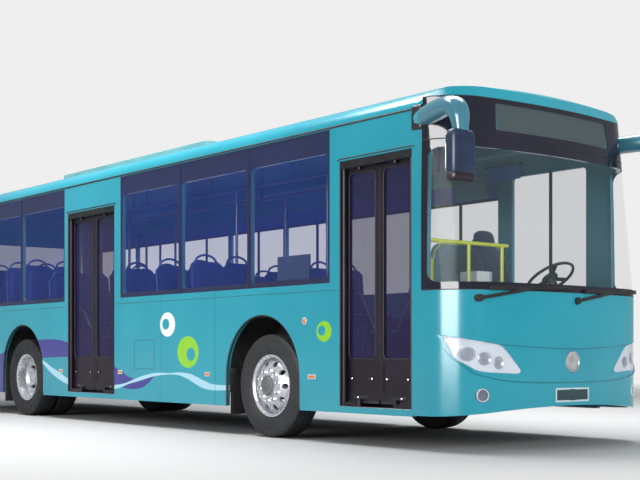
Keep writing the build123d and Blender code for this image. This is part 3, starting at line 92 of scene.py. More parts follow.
studio_lights = [
    # name, place, aim, width, height, watts, lights matt surfaces, shows in gloss
    ("ceiling_panel", (1.0, -0.4, 9.0), (0.6, -0.2, 0.0), 11.0, 4.5, 1950, True, True),
    ("front_panel", (17.0, -3.0, 4.4), (5.0, -0.4, 1.4), 3.0, 5.0, 860, True, False),
    ("kerb_panel", (-1.0, -15.0, 5.0), (-0.5, -1.2, 1.2), 12.0, 4.0, 620, True, False),
    ("corner_strip", (7.5, -9.9, 3.3), (5.0, -1.1, 1.6), 6.5, 5.4, 1800, False, True),
]
for name, place, aim, width, height, watts, on_matt, on_gloss in studio_lights:
    lamp = bpy.data.lights.new(name, "AREA")
    lamp.shape = "RECTANGLE"
    lamp.size = width
    lamp.size_y = height
    lamp.energy = watts
    holder = bpy.data.objects.new(name, lamp)
    holder.location = place
    holder.rotation_euler = (Vector(aim) - Vector(place)).to_track_quat("-Z", "Y").to_euler()
    holder.visible_camera = False
    holder.visible_diffuse = on_matt
    holder.visible_glossy = on_gloss
    bpy.context.scene.collection.objects.link(holder)

floor_mesh = bpy.data.meshes.new("floor")
floor_mesh.from_pydata([(-90, -90, 0), (90, -90, 0), (90, 90, 0), (-90, 90, 0)], [], [(0, 1, 2, 3)])
floor = bpy.data.objects.new("floor", floor_mesh)
bpy.context.scene.collection.objects.link(floor)
floor_paint = bpy.data.materials.new("floor_paint")
floor_paint.use_nodes = True
floor_paint.node_tree.nodes.clear()
where = add_node(floor_paint, "ShaderNodeTexCoord")
reach = add_node(floor_paint, "ShaderNodeVectorMath", {0: where.outputs["Object"]}, operation="LENGTH")
grey_until, white_from = 9.0, 22.0
far = add_node(
    floor_paint, "ShaderNodeMapRange", {"Value": reach.outputs["Value"], 1: grey_until, 2: white_from},
    interpolation_type="SMOOTHSTEP",
)
matt = add_node(floor_paint, "ShaderNodeBsdfDiffuse", {"Color": (0.50, 0.50, 0.50, 1)})
glow = add_node(floor_paint, "ShaderNodeEmission", {"Color": surround_white, "Strength": 1.0})
shade = add_node(
    floor_paint, "ShaderNodeMixShader", {0: far.outputs[0], 1: matt.outputs[0], 2: glow.outputs[0]},
)
add_node(floor_paint, "ShaderNodeOutputMaterial", {"Surface": shade.outputs[0]})
floor_mesh.materials.append(floor_paint)

# ---- Painted body panels ----
# Pressed and welded steel panels, sprayed gloss teal over filler and lacquered. The waves
# and rings along the skirt are cut film under the lacquer, so they are in the paint here.


def begin_material(name):
    """A node material holding nothing yet, and the object's own coordinates to draw it on."""
    material = bpy.data.materials.new(name)
    material.use_nodes = True
    material.node_tree.nodes.clear()
    return material, add_node(material, "ShaderNodeTexCoord").outputs["Object"]


def mottle(material, place, scale, low, high, detail=4.0):
    """Noise from low, where its value is 0.35 or less, to high, where it is 0.65 or more."""
    noise = add_node(material, "ShaderNodeTexNoise", {"Vector": place, "Scale": scale, "Detail": detail})
    return add_node(
        material, "ShaderNodeMapRange",
        {"Value": noise.outputs["Fac"], 1: 0.35, 2: 0.65, 3: low, 4: high},
    ).outputs[0]


def blend_colour(material, amount, first, second):
    """first where amount is 0, second where it is 1."""
    mix = add_node(material, "ShaderNodeMix", {0: amount, 6: first, 7: second}, data_type="RGBA")
    return mix.outputs[2]


def calculate(material, operation, first, second=0.0, third=0.0):
    """One math node's value."""
    node = add_node(material, "ShaderNodeMath", {0: first, 1: second, 2: third}, operation=operation)
    return node.outputs[0]


def end_material(material, place, colour, roughness, bump=0.1, bump_scale=300.0, depth=0.001, **shader):
    """The Principled shader and its fine relief; shader holds sockets that stay the same."""
    noise = add_node(
        material, "ShaderNodeTexNoise", {"Vector": place, "Scale": bump_scale, "Detail": 3.0},
    )
    relief = add_node(
        material, "ShaderNodeBump", {"Strength": bump, "Distance": depth, "Height": noise.outputs["Fac"]},
    )
    skin = add_node(
        material, "ShaderNodeBsdfPrincipled",
        {"Base Color": colour, "Roughness": roughness, "Normal": relief.outputs[0]},
    )
    for socket, value in shader.items():
        skin.inputs[socket.replace("_", " ")].default_value = value
    add_node(material, "ShaderNodeOutputMaterial", {"Surface": skin.outputs[0]})
    return material


def plain_finish(
    name, low, high, roughness, grain=6.0, bump=0.1, bump_scale=300.0, depth=0.001, **shader,
):
    """A finish whose colour wanders between two shades and whose gloss wanders with it."""
    material, place = begin_material(name)
    colour = blend_colour(material, mottle(material, place, grain, 0.0, 1.0), (*low, 1), (*high, 1))
    gloss = mottle(material, place, grain * 3.1, *roughness)
    return end_material(material, place, colour, gloss, bump, bump_scale, depth, **shader)


def cover(finish, *names):
    """Gives the solids of these names one finish."""
    for name in names:
        nodes[name].material_slots[0].material = finish


teal_low = (0.008, 0.300, 0.395, 1)
teal_high = (0.016, 0.345, 0.450, 1)
lining_grey = (0.050, 0.200, 0.270, 1)
wave_purple = (0.036, 0.034, 0.270, 1)
wave_cyan = (0.42, 0.72, 0.86, 1)
ring_green = (0.28, 0.66, 0.02, 1)
ring_white = (0.88, 0.94, 0.94, 1)
# The curves of the waves are drawn in a unit square that covers this length and height.
wave_length = 11.2
wave_start = -5.6
wave_rise = 1.2


def wave_line(material, along, points):
    """Height over the ground of a smooth line through (x, z) points, read from a curve of x."""
    line = add_node(material, "ShaderNodeFloatCurve", {"Value": along})
    curve = line.mapping.curves[0]
    line.mapping.use_clip = False
    for x, z in points[1:-1]:
        curve.points.new((x - wave_start) / wave_length, z / wave_rise)
    for point, (x, z) in ((curve.points[0], points[0]), (curve.points[-1], points[-1])):
        point.location = ((x - wave_start) / wave_length, z / wave_rise)
    line.mapping.update()
    return calculate(material, "MULTIPLY", line.outputs[0], wave_rise)


def soft_edge(material, depth, half=0.0015):
    """0 to 1 as the depth inside an outline goes from -half to half."""
    limits = {"Value": depth, 1: -half, 2: half}
    return add_node(material, "ShaderNodeMapRange", limits).outputs[0]


def band_mask(material, along, height, upper, lower, first_x, last_x, x):
    """1 between two wave lines and two ends, 0 elsewhere, with a 3 mm soft edge."""
    top = calculate(material, "SUBTRACT", wave_line(material, along, upper), height)
    bottom = calculate(material, "SUBTRACT", height, wave_line(material, along, lower))
    front = calculate(material, "SUBTRACT", last_x, x)
    rear = calculate(material, "SUBTRACT", x, first_x)
    level = calculate(material, "MINIMUM", top, bottom)
    ends = calculate(material, "MINIMUM", rear, front)
    return soft_edge(material, calculate(material, "MINIMUM", level, ends))


def ring_mask(material, x, z, centre, half):
    """1 inside an ellipse, from the scaled distance to its centre; half holds its half-sizes."""
    squares = []
    for place, middle, size in zip((x, z), centre, half):
        share = calculate(material, "DIVIDE", calculate(material, "SUBTRACT", place, middle), size)
        squares.append(calculate(material, "MULTIPLY", share, share))
    away = calculate(material, "SQRT", calculate(material, "ADD", *squares))
    return soft_edge(material, calculate(material, "MULTIPLY_ADD", away, -half[0], half[0]))


body_paint, place = begin_material("body_paint")
axes = add_node(body_paint, "ShaderNodeSeparateXYZ", {0: place}).outputs
paint_x, paint_z = axes["X"], axes["Z"]
paint_out = calculate(body_paint, "ABSOLUTE", axes["Y"])
wave_from_y, ring_from_y = 1.03, 1.20
along = calculate(
    body_paint, "DIVIDE", calculate(body_paint, "SUBTRACT", paint_x, wave_start), wave_length,
)
coat = blend_colour(body_paint, mottle(body_paint, place, 0.7, 0.0, 1.0), teal_low, teal_high)
# The edges of the two waves, as points of (x, height).
purple_top = [
    (-5.6, 0.95), (-4.6, 0.60), (-3.9, 0.66), (-3.25, 0.80), (-2.6, 0.93), (-2.08, 0.985), (-1.63, 0.984),
    (-1.31, 0.948), (-0.7, 0.82), (-0.15, 0.660), (0.03, 0.600), (0.235, 0.537), (0.40, 0.525),
    (0.60, 0.555), (0.80, 0.600), (0.90, 0.620), (5.6, 0.62),
]
purple_foot = [
    (-5.6, 0.55), (-4.6, 0.20), (-3.9, 0.20), (-3.25, 0.28), (-2.8, 0.50), (-2.4, 0.68), (-1.97, 0.75),
    (-1.63, 0.763), (-1.31, 0.764), (-0.7, 0.60), (-0.3, 0.45), (0.0, 0.425), (0.20, 0.409),
    (0.37, 0.416), (0.567, 0.471), (0.727, 0.562), (0.80, 0.602), (0.90, 0.640), (5.6, 0.70),
]
cyan_top = [
    (-5.6, 0.9), (-2.6, 0.86), (-2.2, 0.79), (-1.95, 0.716), (-1.717, 0.636), (-1.47, 0.563),
    (-1.309, 0.505), (-0.8, 0.425), (-0.144, 0.448), (0.065, 0.470), (0.303, 0.526), (0.567, 0.576),
    (0.823, 0.601), (1.04, 0.599), (1.20, 0.610), (1.401, 0.601), (1.547, 0.571), (1.718, 0.526),
    (1.886, 0.495), (2.063, 0.492), (5.6, 0.6),
]
cyan_foot = [
    (-5.6, 0.9), (-2.6, 0.85), (-2.2, 0.76), (-1.95, 0.673), (-1.759, 0.574), (-1.511, 0.486),
    (-1.309, 0.437), (-0.8, 0.375), (-0.144, 0.405), (0.201, 0.473), (0.436, 0.511), (0.695, 0.558),
    (0.885, 0.577), (1.132, 0.586), (1.342, 0.555), (1.547, 0.491), (1.718, 0.447), (1.858, 0.435),
    (2.063, 0.440), (5.6, 0.6),
]
wave_bands = [
    # colour, upper edge, lower edge, first x, last x
    (wave_purple, purple_top, purple_foot, -5.6, 0.84),
    (wave_cyan, cyan_top, cyan_foot, -2.3, 2.3),
]
for colour, upper, lower, first_x, last_x in wave_bands:
    inside = band_mask(body_paint, along, paint_z, upper, lower, first_x, last_x, paint_x)
    beyond = calculate(body_paint, "GREATER_THAN", paint_out, wave_from_y)
    coat = blend_colour(body_paint, calculate(body_paint, "MULTIPLY", inside, beyond), coat, colour)
paint_rings = [
    # colour, centre (x, z), half-sizes, hole's centre, hole's half-sizes
    (ring_white, (0.990, 1.123), (0.152, 0.130), (0.956, 1.127), (0.070, 0.060)),
    (ring_green, (1.392, 0.826), (0.203, 0.166), (1.449, 0.802), (0.080, 0.069)),
    (ring_green, (3.645, 1.012), (0.108, 0.094), (3.612, 1.020), (0.053, 0.045)),
]
for colour, centre, half, hole, hole_half in paint_rings:
    disc = ring_mask(body_paint, paint_x, paint_z, centre, half)
    middle = ring_mask(body_paint, paint_x, paint_z, hole, hole_half)
    shown = calculate(body_paint, "SUBTRACT", disc, middle)
    beyond = calculate(body_paint, "GREATER_THAN", paint_out, ring_from_y)
    coat = blend_colour(body_paint, calculate(body_paint, "MULTIPLY", shown, beyond), coat, colour)

# Faces that look into the bus are lined in grey laminate: there the normal points back toward
# a line along the bus at 2 m height.
core_scale, core_shift = (0.2, 0.8, 1.0), (0.0, 0.0, -2.0)
from_core = add_node(
    body_paint, "ShaderNodeVectorMath", {0: place, 1: core_scale, 2: core_shift},
    operation="MULTIPLY_ADD",
)
facing = add_node(body_paint, "ShaderNodeTexCoord").outputs["Normal"]
outward = add_node(
    body_paint, "ShaderNodeVectorMath", {0: from_core.outputs["Vector"], 1: facing},
    operation="DOT_PRODUCT",
)
lined = calculate(body_paint, "LESS_THAN", outward.outputs["Value"], -0.04)

# The reveals round the glass are lined too: (axis, low, high) limits of the two regions.
reveals = [
    [(paint_x, -5.25, 4.78), (paint_out, 0.0, 1.2405), (paint_z, 1.18, 2.835)],
    [(paint_x, 4.909, 5.60), (paint_z, 1.338, 2.926)],
]
for limits in reveals:
    within = 1.0
    for value, low, high in limits:
        between = calculate(body_paint, "COMPARE", value, (low + high) / 2, (high - low) / 2)
        within = calculate(body_paint, "MULTIPLY", within, between)
    lined = calculate(body_paint, "MAXIMUM", lined, within)
coat = blend_colour(body_paint, lined, coat, lining_grey)
sheen = mottle(body_paint, place, 2.3, 0.17, 0.25)
end_material(
    body_paint, place, coat, sheen, bump=0.03, bump_scale=700.0, depth=0.0004, Coat_Weight=0.45,
    Coat_Roughness=0.14, Specular_IOR_Level=0.4,
)

cover(body_paint, "side_panel_right", "side_panel_left", "roof_panel", "front_mask", "front_bumper")
cover(body_paint, "rear_panel", "rear_bumper", "engine_lid")

# ---- Frame, axles and tanks under the floor ----
# Riveted steel rails, cast and forged axles and an aluminium fuel tank. The steel is primed
# and painted black against road spray; the engine is bare iron with a warm, oily cast.
chassis_black = plain_finish(
    "chassis_black", (0.012, 0.012, 0.014), (0.030, 0.029, 0.028), (0.45, 0.75), grain=9.0, bump=0.25,
    bump_scale=160.0,
)
engine_iron = plain_finish(
    "engine_iron", (0.055, 0.052, 0.050), (0.120, 0.112, 0.105), (0.40, 0.70), grain=5.0, bump=0.5,
    bump_scale=90.0, depth=0.002, Metallic=0.7,
)
tank_metal = plain_finish(
    "tank_metal", (0.42, 0.43, 0.44), (0.55, 0.56, 0.57), (0.28, 0.42), grain=12.0, bump=0.08,
    bump_scale=260.0, Metallic=1.0,
)
exhaust_metal = plain_finish(
    "exhaust_metal", (0.16, 0.14, 0.12), (0.32, 0.29, 0.26), (0.38, 0.62), grain=8.0, bump=0.2,
    bump_scale=120.0, Metallic=0.9,
)
spring_rubber = plain_finish(
    "spring_rubber", (0.014, 0.014, 0.015), (0.028, 0.028, 0.028), (0.6, 0.8), grain=14.0, bump=0.3,
    bump_scale=220.0,
)
cover(chassis_black, "chassis_frame", "front_axle", "rear_axle", "wheel_boxes")
cover(chassis_black, "tie_rod", "steering_knuckle_left", "steering_knuckle_right")
cover(engine_iron, "engine_block")
cover(tank_metal, "fuel_tank")
cover(exhaust_metal, "exhaust")
cover(spring_rubber, "suspension")

# ---- Tyres ----
# Radial truck tyres of black rubber, moulded with four grooves round the tread, cross cuts
# in its ribs and shallow rings on the walls. Each replaces the plain tyre of its wheel.
tyre_rubber, place = begin_material("tyre_rubber")
dust = mottle(tyre_rubber, place, 7.0, 0.0, 1.0)
colour = blend_colour(tyre_rubber, dust, (0.008, 0.009, 0.012, 1), (0.018, 0.019, 0.023, 1))
end_material(
    tyre_rubber, place, colour, mottle(tyre_rubber, place, 21.0, 0.55, 0.78), bump=0.25, bump_scale=380.0,
)

hub_height = 0.5
wheel_places = [
    # name, body, axle x, side, distances of its wheels from the middle of the bus
    ("front_left", "front_wheel_left", 2.765, 1, (1.085,)),
    ("front_right", "front_wheel_right", 2.765, -1, (1.085,)),
    ("rear_left", "rear_wheel_left", -2.565, 1, (1.085, 0.795)),
    ("rear_right", "rear_wheel_right", -2.565, -1, (1.085, 0.795)),
]


def quads(rows, columns, rows_joined=False, columns_joined=False):
    """Corner indexes of the quads between neighbouring rows and columns of a grid of points."""
    row = np.arange(rows if rows_joined else rows - 1)
    column = np.arange(columns if columns_joined else columns - 1)
    row, column = (part.ravel() for part in np.meshgrid(row, column, indexing="ij"))
    next_row, next_column = (row + 1) % rows, (column + 1) % columns
    start, ahead = row * columns, next_row * columns
    return np.stack([start + column, start + next_column, ahead + next_column, ahead + column], 1)


def gather(parts):
    """One (points, faces) from several; each part's indexes move past the points before it."""
    points, faces = [], []
    start = 0
    for part_points, part_faces in parts:
        points.append(part_points)
        faces += [[index + start for index in face] for face in part_faces]
        start += len(part_points)
    return np.concatenate(points), faces


def make_piece(name, shape, finish, body="body", smooth_below=40.0):
    """Mesh object from (points, faces), its faces turned outward, riding on a body of the bus."""
    points, faces = shape
    mesh = bpy.data.meshes.new(name)
    mesh.from_pydata(np.asarray(points, float).tolist(), [], [list(map(int, face)) for face in faces])
    welder = bmesh.new()
    welder.from_mesh(mesh)
    bmesh.ops.recalc_face_normals(welder, faces=welder.faces)
    welder.to_mesh(mesh)
    welder.free()
    mesh.polygons.foreach_set("use_smooth", np.ones(len(mesh.polygons), bool))
    mesh.set_sharp_from_angle(angle=radians(smooth_below))
    mesh.materials.append(finish)
    piece = bpy.data.objects.new(name, mesh)
    bpy.context.scene.collection.objects.link(piece)
    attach(piece, body)
    return piece


def ring_of(profile, turns, centre, deepen):
    """A closed profile of (radius, y) carried round the Y axis; deepen adds to each radius."""
    angle = np.linspace(0, 2 * np.pi, turns, endpoint=False)[:, None]
    radius, across = profile[:, 0][None, :], profile[:, 1][None, :]
    radius = radius + deepen(angle, across, radius)
    offset = np.stack([radius * np.cos(angle), across + 0 * angle, radius * np.sin(angle)], -1)
    return (np.array(centre) + offset).reshape(-1, 3), quads(turns, len(profile), True, True)


def tread_cuts(angle, across, radius):
    """Cross cuts 6 mm deep through the ribs and shoulders, 72 to a turn, swept back from the middle."""
    pitch = 2 * np.pi / 72
    swept = angle + 0.96 * np.abs(across)
    cut = np.abs((swept / pitch) % 1.0 - 0.5) < 0.12
    on_tread = (radius > 0.486) & (np.abs(across) < 0.112)
    return np.where(cut & on_tread, -0.006, 0.0)


rib_edges = np.array(
    [
        -0.104, -0.078, -0.074, -0.066, -0.062, -0.030, -0.026, -0.018, -0.014, 0.014, 0.018, 0.026,
        0.030, 0.062, 0.066, 0.074, 0.078, 0.104,
    ]
)
groove_depths = np.array(
    [0, 0, 0.009, 0.009, 0, 0, 0.009, 0.009, 0, 0, 0.009, 0.009, 0, 0, 0.009, 0.009, 0, 0]
)
crown = 0.4995 - 0.35 * rib_edges**2 - groove_depths
wall_ring = [
    (0.490, 0.112), (0.474, 0.1225), (0.455, 0.1262), (0.440, 0.1262), (0.437, 0.1248), (0.425, 0.1266),
    (0.400, 0.1268), (0.370, 0.1250), (0.366, 0.1232), (0.350, 0.1222), (0.325, 0.1150), (0.305, 0.1010),
    (0.2885, 0.0960), (0.2885, 0.0900),
]
outer_wall = np.array(wall_ring)
inner_wall = outer_wall[::-1] * (1, -1)
tyre_profile = np.concatenate([np.stack([crown, rib_edges], 1), outer_wall, inner_wall])
for name, body, axle_x, side, reaches_out in wheel_places:
    rings = [
        ring_of(tyre_profile, 288, (axle_x, side * reach_out, hub_height), tread_cuts)
        for reach_out in reaches_out
    ]
    tyre = make_piece("tread_tyre_" + name, gather(rings), tyre_rubber, body)
    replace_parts(tyre, "tyre_" + name)

# ---- Wheel discs, nuts and hub caps ----
# Pressed steel discs in silver enamel, held by ten bright nuts on studs. In front a flat grey
# hub stands out of the disc; the dished rear disc shows a stepped, domed hub.
wheel_enamel = plain_finish(
    "wheel_enamel", (0.50, 0.52, 0.55), (0.62, 0.64, 0.67), (0.22, 0.34), grain=9.0, bump=0.06,
    bump_scale=300.0, Metallic=0.55,
)
bright_steel = plain_finish(
    "bright_steel", (0.60, 0.61, 0.63), (0.72, 0.73, 0.75), (0.14, 0.24), grain=20.0, bump=0.05,
    bump_scale=400.0, Metallic=1.0,
)
hub_grey = plain_finish(
    "hub_grey", (0.16, 0.165, 0.175), (0.26, 0.27, 0.28), (0.35, 0.5), grain=16.0, bump=0.15,
    bump_scale=240.0, Metallic=0.8,
)
cover(wheel_enamel, *("rim_" + row[0] for row in wheel_places))


def turned(profile, turns, centre, axis=(0, 1, 0), start=0.0):
    """A profile of (radius, distance along the axis) carried round the axis, with flat ends."""
    ahead = Vector(axis).normalized()
    side = ahead.orthogonal().normalized()
    up = ahead.cross(side)
    profile = np.asarray(profile, float)
    angle = start + np.linspace(0, 2 * np.pi, turns, endpoint=False)[:, None, None]
    radius, along = profile[None, :, 0, None], profile[None, :, 1, None]
    round_axis = radius * (np.cos(angle) * np.array(side) + np.sin(angle) * np.array(up))
    points = np.asarray(centre) + round_axis + along * np.array(ahead)
    count = len(profile)
    faces = quads(turns, count, True, False).tolist()
    faces.append([turn * count for turn in range(turns)])
    faces.append([turn * count + count - 1 for turn in reversed(range(turns))])
    return points.reshape(-1, 3), faces


nut_circle = 0.145
nut_count = 10
disc_reach = 0.128
nut_profile = [(0.0235, 0.0), (0.0235, 0.004), (0.0165, 0.006), (0.0165, 0.024), (0.0130, 0.028)]
stud_profile = [(0.0085, 0.0), (0.0085, 0.034), (0.0065, 0.036)]
valve_profile = [(0.004, 0.0), (0.004, 0.030), (0.0055, 0.032), (0.0055, 0.044), (0.004, 0.046)]
domed_cap = [
    (0.112, 0.0), (0.112, 0.016), (0.104, 0.022), (0.092, 0.030), (0.092, 0.120), (0.084, 0.132),
    (0.060, 0.138), (0.058, 0.146), (0.030, 0.150),
]
flat_cap = [
    (0.100, 0.016), (0.100, 0.020), (0.084, 0.022), (0.080, 0.030), (0.070, 0.0335), (0.045, 0.0345),
    (0.020, 0.0350),
]
for name, body, axle_x, side, reaches_out in wheel_places:
    outward = (0, side, 0)
    dished = len(reaches_out) == 2
    face_y = side * (reaches_out[0] - disc_reach + 0.014 if dished else reaches_out[0] + disc_reach)
    middle = (axle_x, face_y, hub_height)
    angles = np.arange(nut_count) * 2 * np.pi / nut_count + 0.2
    nuts, studs = [], []
    for angle in angles:
        seat = (axle_x + nut_circle * np.cos(angle), face_y, hub_height + nut_circle * np.sin(angle))
        nuts.append(turned(nut_profile, 6, seat, outward))
        studs.append(turned(stud_profile, 12, seat, outward))
    make_piece("wheel_nuts_" + name, gather(nuts + studs), bright_steel, body)
    cap_profile, cap_finish = (domed_cap, wheel_enamel) if dished else (flat_cap, hub_grey)
    make_piece(
        "hub_cap_" + name, turned(cap_profile, 64, middle, outward), cap_finish, body,
    )
    valve_seat = (axle_x + 0.245, face_y + side * (0.03 if dished else -0.02), hub_height)
    make_piece(
        "tyre_valve_" + name, turned(valve_profile, 12, valve_seat, outward), hub_grey,
        body,
    )

# ---- Arch lips and mudflaps ----
# Black rubber lips pressed on the edges of the wheel arches, and ribbed rubber flaps behind
# the wheels, each hung from a steel bar.
black_rubber = plain_finish(
    "black_rubber", (0.010, 0.010, 0.012), (0.022, 0.022, 0.024), (0.5, 0.7), grain=11.0, bump=0.2,
    bump_scale=300.0,
)
skin_y = 1.25
arch_radius = 0.600
arch_height = 0.585
skirt_height = 0.285
arch_lines = [
    # name, centre x, side
    ("front_left", 2.690, 1),
    ("front_right", 2.690, -1),
    ("rear_left", -2.565, 1),
    ("rear_right", -2.565, -1),
]


def carried(path, section, closed=False, upright=(0, 0, 1)):
    """A section of (side, up) offsets carried along a path of points, square to it, with flat ends.

    side is the cross product of the path's direction and upright, up is square to both."""
    path = np.asarray(path, float)
    if closed:
        ahead = np.roll(path, -1, 0) - np.roll(path, 1, 0)
    else:
        ahead = np.gradient(path, axis=0)
    ahead /= np.linalg.norm(ahead, axis=1, keepdims=True)
    side = np.cross(ahead, np.asarray(upright, float))
    side /= np.linalg.norm(side, axis=1, keepdims=True)
    up = np.cross(side, ahead)
    section = np.asarray(section, float)
    aside, above = section[None, :, 0, None], section[None, :, 1, None]
    points = path[:, None] + aside * side[:, None] + above * up[:, None]
    count = len(section)
    faces = quads(len(path), count, closed, True).tolist()
    if not closed:
        faces += [
            list(range(count)), [(len(path) - 1) * count + index for index in reversed(range(count))],
        ]
    return points.reshape(-1, 3), faces


def round_section(radius, sides=12, flatten=1.0):
    """A ring of (side, up) offsets; flatten scales the second."""
    angle = np.linspace(0, 2 * np.pi, sides, endpoint=False)
    return np.stack([radius * np.cos(angle), radius * flatten * np.sin(angle)], 1)


def arc(centre, radius, first, last, count):
    """Points of (across, up) round a centre, from one angle in degrees to another."""
    angle = np.radians(np.linspace(first, last, count))
    return np.stack([centre[0] + radius * np.cos(angle), centre[1] + radius * np.sin(angle)], 1)


def on_wall(loop, y):
    """Points of (x, z) set at a distance y from the middle of the bus."""
    return np.stack([loop[:, 0], np.full(len(loop), y), loop[:, 1]], 1)


def closed_sheet(front, back):
    """Two grids of points, (rows, columns, 3), joined by a wall all round their edges."""
    rows, columns = front.shape[:2]
    index = np.arange(rows * columns).reshape(rows, columns)
    rim = np.concatenate([index[:, 0], index[-1, 1:], index[-2::-1, -1], index[0, -2:0:-1]])
    wall = np.stack([rim, np.roll(rim, -1), np.roll(rim, -1) + index.size, rim + index.size], 1)
    faces = quads(rows, columns)
    points = np.concatenate([front.reshape(-1, 3), back.reshape(-1, 3)])
    return points, np.concatenate([faces, faces[:, ::-1] + index.size, wall]).tolist()


def slab(x, y, z):
    """A box between (low, high) pairs."""
    points = np.array([(i, j, k) for i in x for j in y for k in z], float)
    return points, [[0, 1, 3, 2], [4, 6, 7, 5], [0, 4, 5, 1], [2, 3, 7, 6], [0, 2, 6, 4], [1, 5, 7, 3]]


def bevelled(piece, width, segments=2):
    """Rounds a finished piece's edges."""
    bevel = piece.modifiers.new("edges", "BEVEL")
    bevel.width = width
    bevel.segments = segments
    bevel.limit_method = "ANGLE"
    return piece


for name, centre_x, side in arch_lines:
    bow = arc((centre_x, arch_height), arch_radius - 0.004, 0, 180, 49)
    line = np.concatenate(
        [[(bow[0, 0], skirt_height + 0.004)], bow, [(bow[-1, 0], skirt_height + 0.004)]]
    )
    lip = carried(
        on_wall(line, side * (skin_y - 0.0145)), round_section(0.0115, 10, 1.2), upright=(0, 1, 0),
    )
    make_piece("arch_lip_" + name, lip, black_rubber)

flap_places = [
    # name, x of its face, middle y, half-width, low z, high z
    ("front_left", 2.128, 1.080, 0.135, 0.200, 0.640),
    ("front_right", 2.128, -1.080, 0.135, 0.200, 0.640),
    ("rear_left", -3.170, 0.940, 0.270, 0.170, 0.640),
    ("rear_right", -3.170, -0.940, 0.270, 0.170, 0.640),
]
for name, face_x, middle_y, half, low_z, high_z in flap_places:
    across = np.linspace(-half, half, 41)
    rib = 0.002 * (np.cos(across * np.pi / 0.018) > 0)
    height = np.array([low_z, high_z])[:, None]
    front = np.stack(np.broadcast_arrays(face_x + 0.004 + rib, middle_y + across, height), -1)
    back = np.stack(np.broadcast_arrays(face_x - 0.004, middle_y + across, height), -1)
    make_piece("mudflap_" + name, closed_sheet(front, back), black_rubber)
    bracket = slab(
        (face_x - 0.010, face_x + 0.012), (middle_y - half, middle_y + half),
        (high_z - 0.03, high_z + 0.02),
    )
    bevelled(make_piece("mudflap_bar_" + name, bracket, chassis_black), 0.003)

# ---- Side windows ----
# Tinted safety glass bonded to the wall, each pane with a black ceramic border fired on its
# inner face, a rubber joint to its neighbour and, on the left, sliding upper lights.


def tinted_glass(name, tint, density, roughness, shine=0.5):
    """Thin coated glass: the tint covers that share of what lies behind, the gloss rides on it."""
    material, place = begin_material(name)
    drift = mottle(material, place, 1.7, 0.0, 1.0)
    colour = blend_colour(material, drift, (*tint, 1), (*(1.25 * np.array(tint)), 1))
    gloss = mottle(material, place, 5.0, *roughness)
    end_material(
        material, place, colour, gloss, bump=0.02, bump_scale=3.0, depth=0.0006, Alpha=density,
        Specular_IOR_Level=shine,
    )
    return material


side_density = 0.16
side_glass = tinted_glass("side_glass", (0.030, 0.070, 0.360), side_density, (0.01, 0.03))
door_glass = tinted_glass("door_glass", (0.030, 0.024, 0.100), 0.45, (0.01, 0.03))
rear_glass = tinted_glass("rear_glass", (0.012, 0.016, 0.045), 0.45, (0.01, 0.03))

# On the road side behind the driver, the glass above 2.423 m takes a much denser, darker tint.
skin = next(node for node in side_glass.node_tree.nodes if node.type == "BSDF_PRINCIPLED")
place = add_node(side_glass, "ShaderNodeTexCoord").outputs["Object"]
spot = add_node(side_glass, "ShaderNodeSeparateXYZ", {0: place}).outputs
dark_tint_from_z, dark_tint_end_x, dark_tint_cover = 2.423, 3.60, 0.74
high_up = calculate(side_glass, "GREATER_THAN", spot["Z"], dark_tint_from_z)
behind_driver = calculate(side_glass, "LESS_THAN", spot["X"], dark_tint_end_x)
road_side = calculate(side_glass, "GREATER_THAN", spot["Y"], 0.0)
dark_tinted = calculate(
    side_glass, "MULTIPLY", calculate(side_glass, "MULTIPLY", high_up, behind_driver), road_side,
)
cover_share = calculate(side_glass, "MULTIPLY_ADD", dark_tinted, dark_tint_cover, side_density)
side_glass.node_tree.links.new(cover_share, skin.inputs["Alpha"])
ceramic_black = plain_finish(
    "ceramic_black", (0.008, 0.007, 0.012), (0.013, 0.011, 0.018), (0.30, 0.40), grain=2.0, bump=0.03,
    bump_scale=500.0,
)
cover(side_glass, "side_windows")
cover(rear_glass, "rear_window")

glass_low, glass_high = 1.446, 2.826
light_low, light_high = 1.500, 2.620
post_half = 0.035
joint_half = 0.004
window_corner = 0.045
# Each band of panes: first x, last x, panes.
kerb_bands = [(-5.035, -1.382, 3), (-0.017, 3.727, 3)]
road_bands = [(-5.035, 3.560, 7)]
driver_band = (3.680, 4.700, 1)
driver_low = 1.180


def rounded_loop(across, up, radius, count=8):
    """Points round a rectangle given by (low, high) pairs, its corners turned at that radius."""
    left, right = across[0] + radius, across[1] - radius
    low, high = up[0] + radius, up[1] - radius
    corners = [((right, high), 0), ((left, high), 90), ((left, low), 180), ((right, low), 270)]
    return np.concatenate([arc(centre, radius, first, first + 90, count) for centre, first in corners])


def border_plate(outer, inner, lift, steps=1):
    """A frame between two loops, its faces in steps from one to the other.

    lift turns arrays of across, up and layer, 0 in front and 1 behind, into points."""
    shares = np.linspace(0, 1, steps + 1)
    loops = [(outer + (inner - outer) * share, 0.0) for share in shares]
    loops += [(loop, 1.0) for loop, layer in reversed(loops)]
    points = np.stack([lift(loop[:, 0], loop[:, 1], layer) for loop, layer in loops], 1)
    return points.reshape(-1, 3), quads(len(outer), len(loops), True, True).tolist()


def on_side(side, outer_y, inner_y):
    """Lift for a plate standing on the wall at one side, between two distances from the middle."""
    def lift(across, up, layer):
        return np.stack(
            [across, np.full(len(across), side * (outer_y + (inner_y - outer_y) * layer)), up], 1,
        )

    return lift


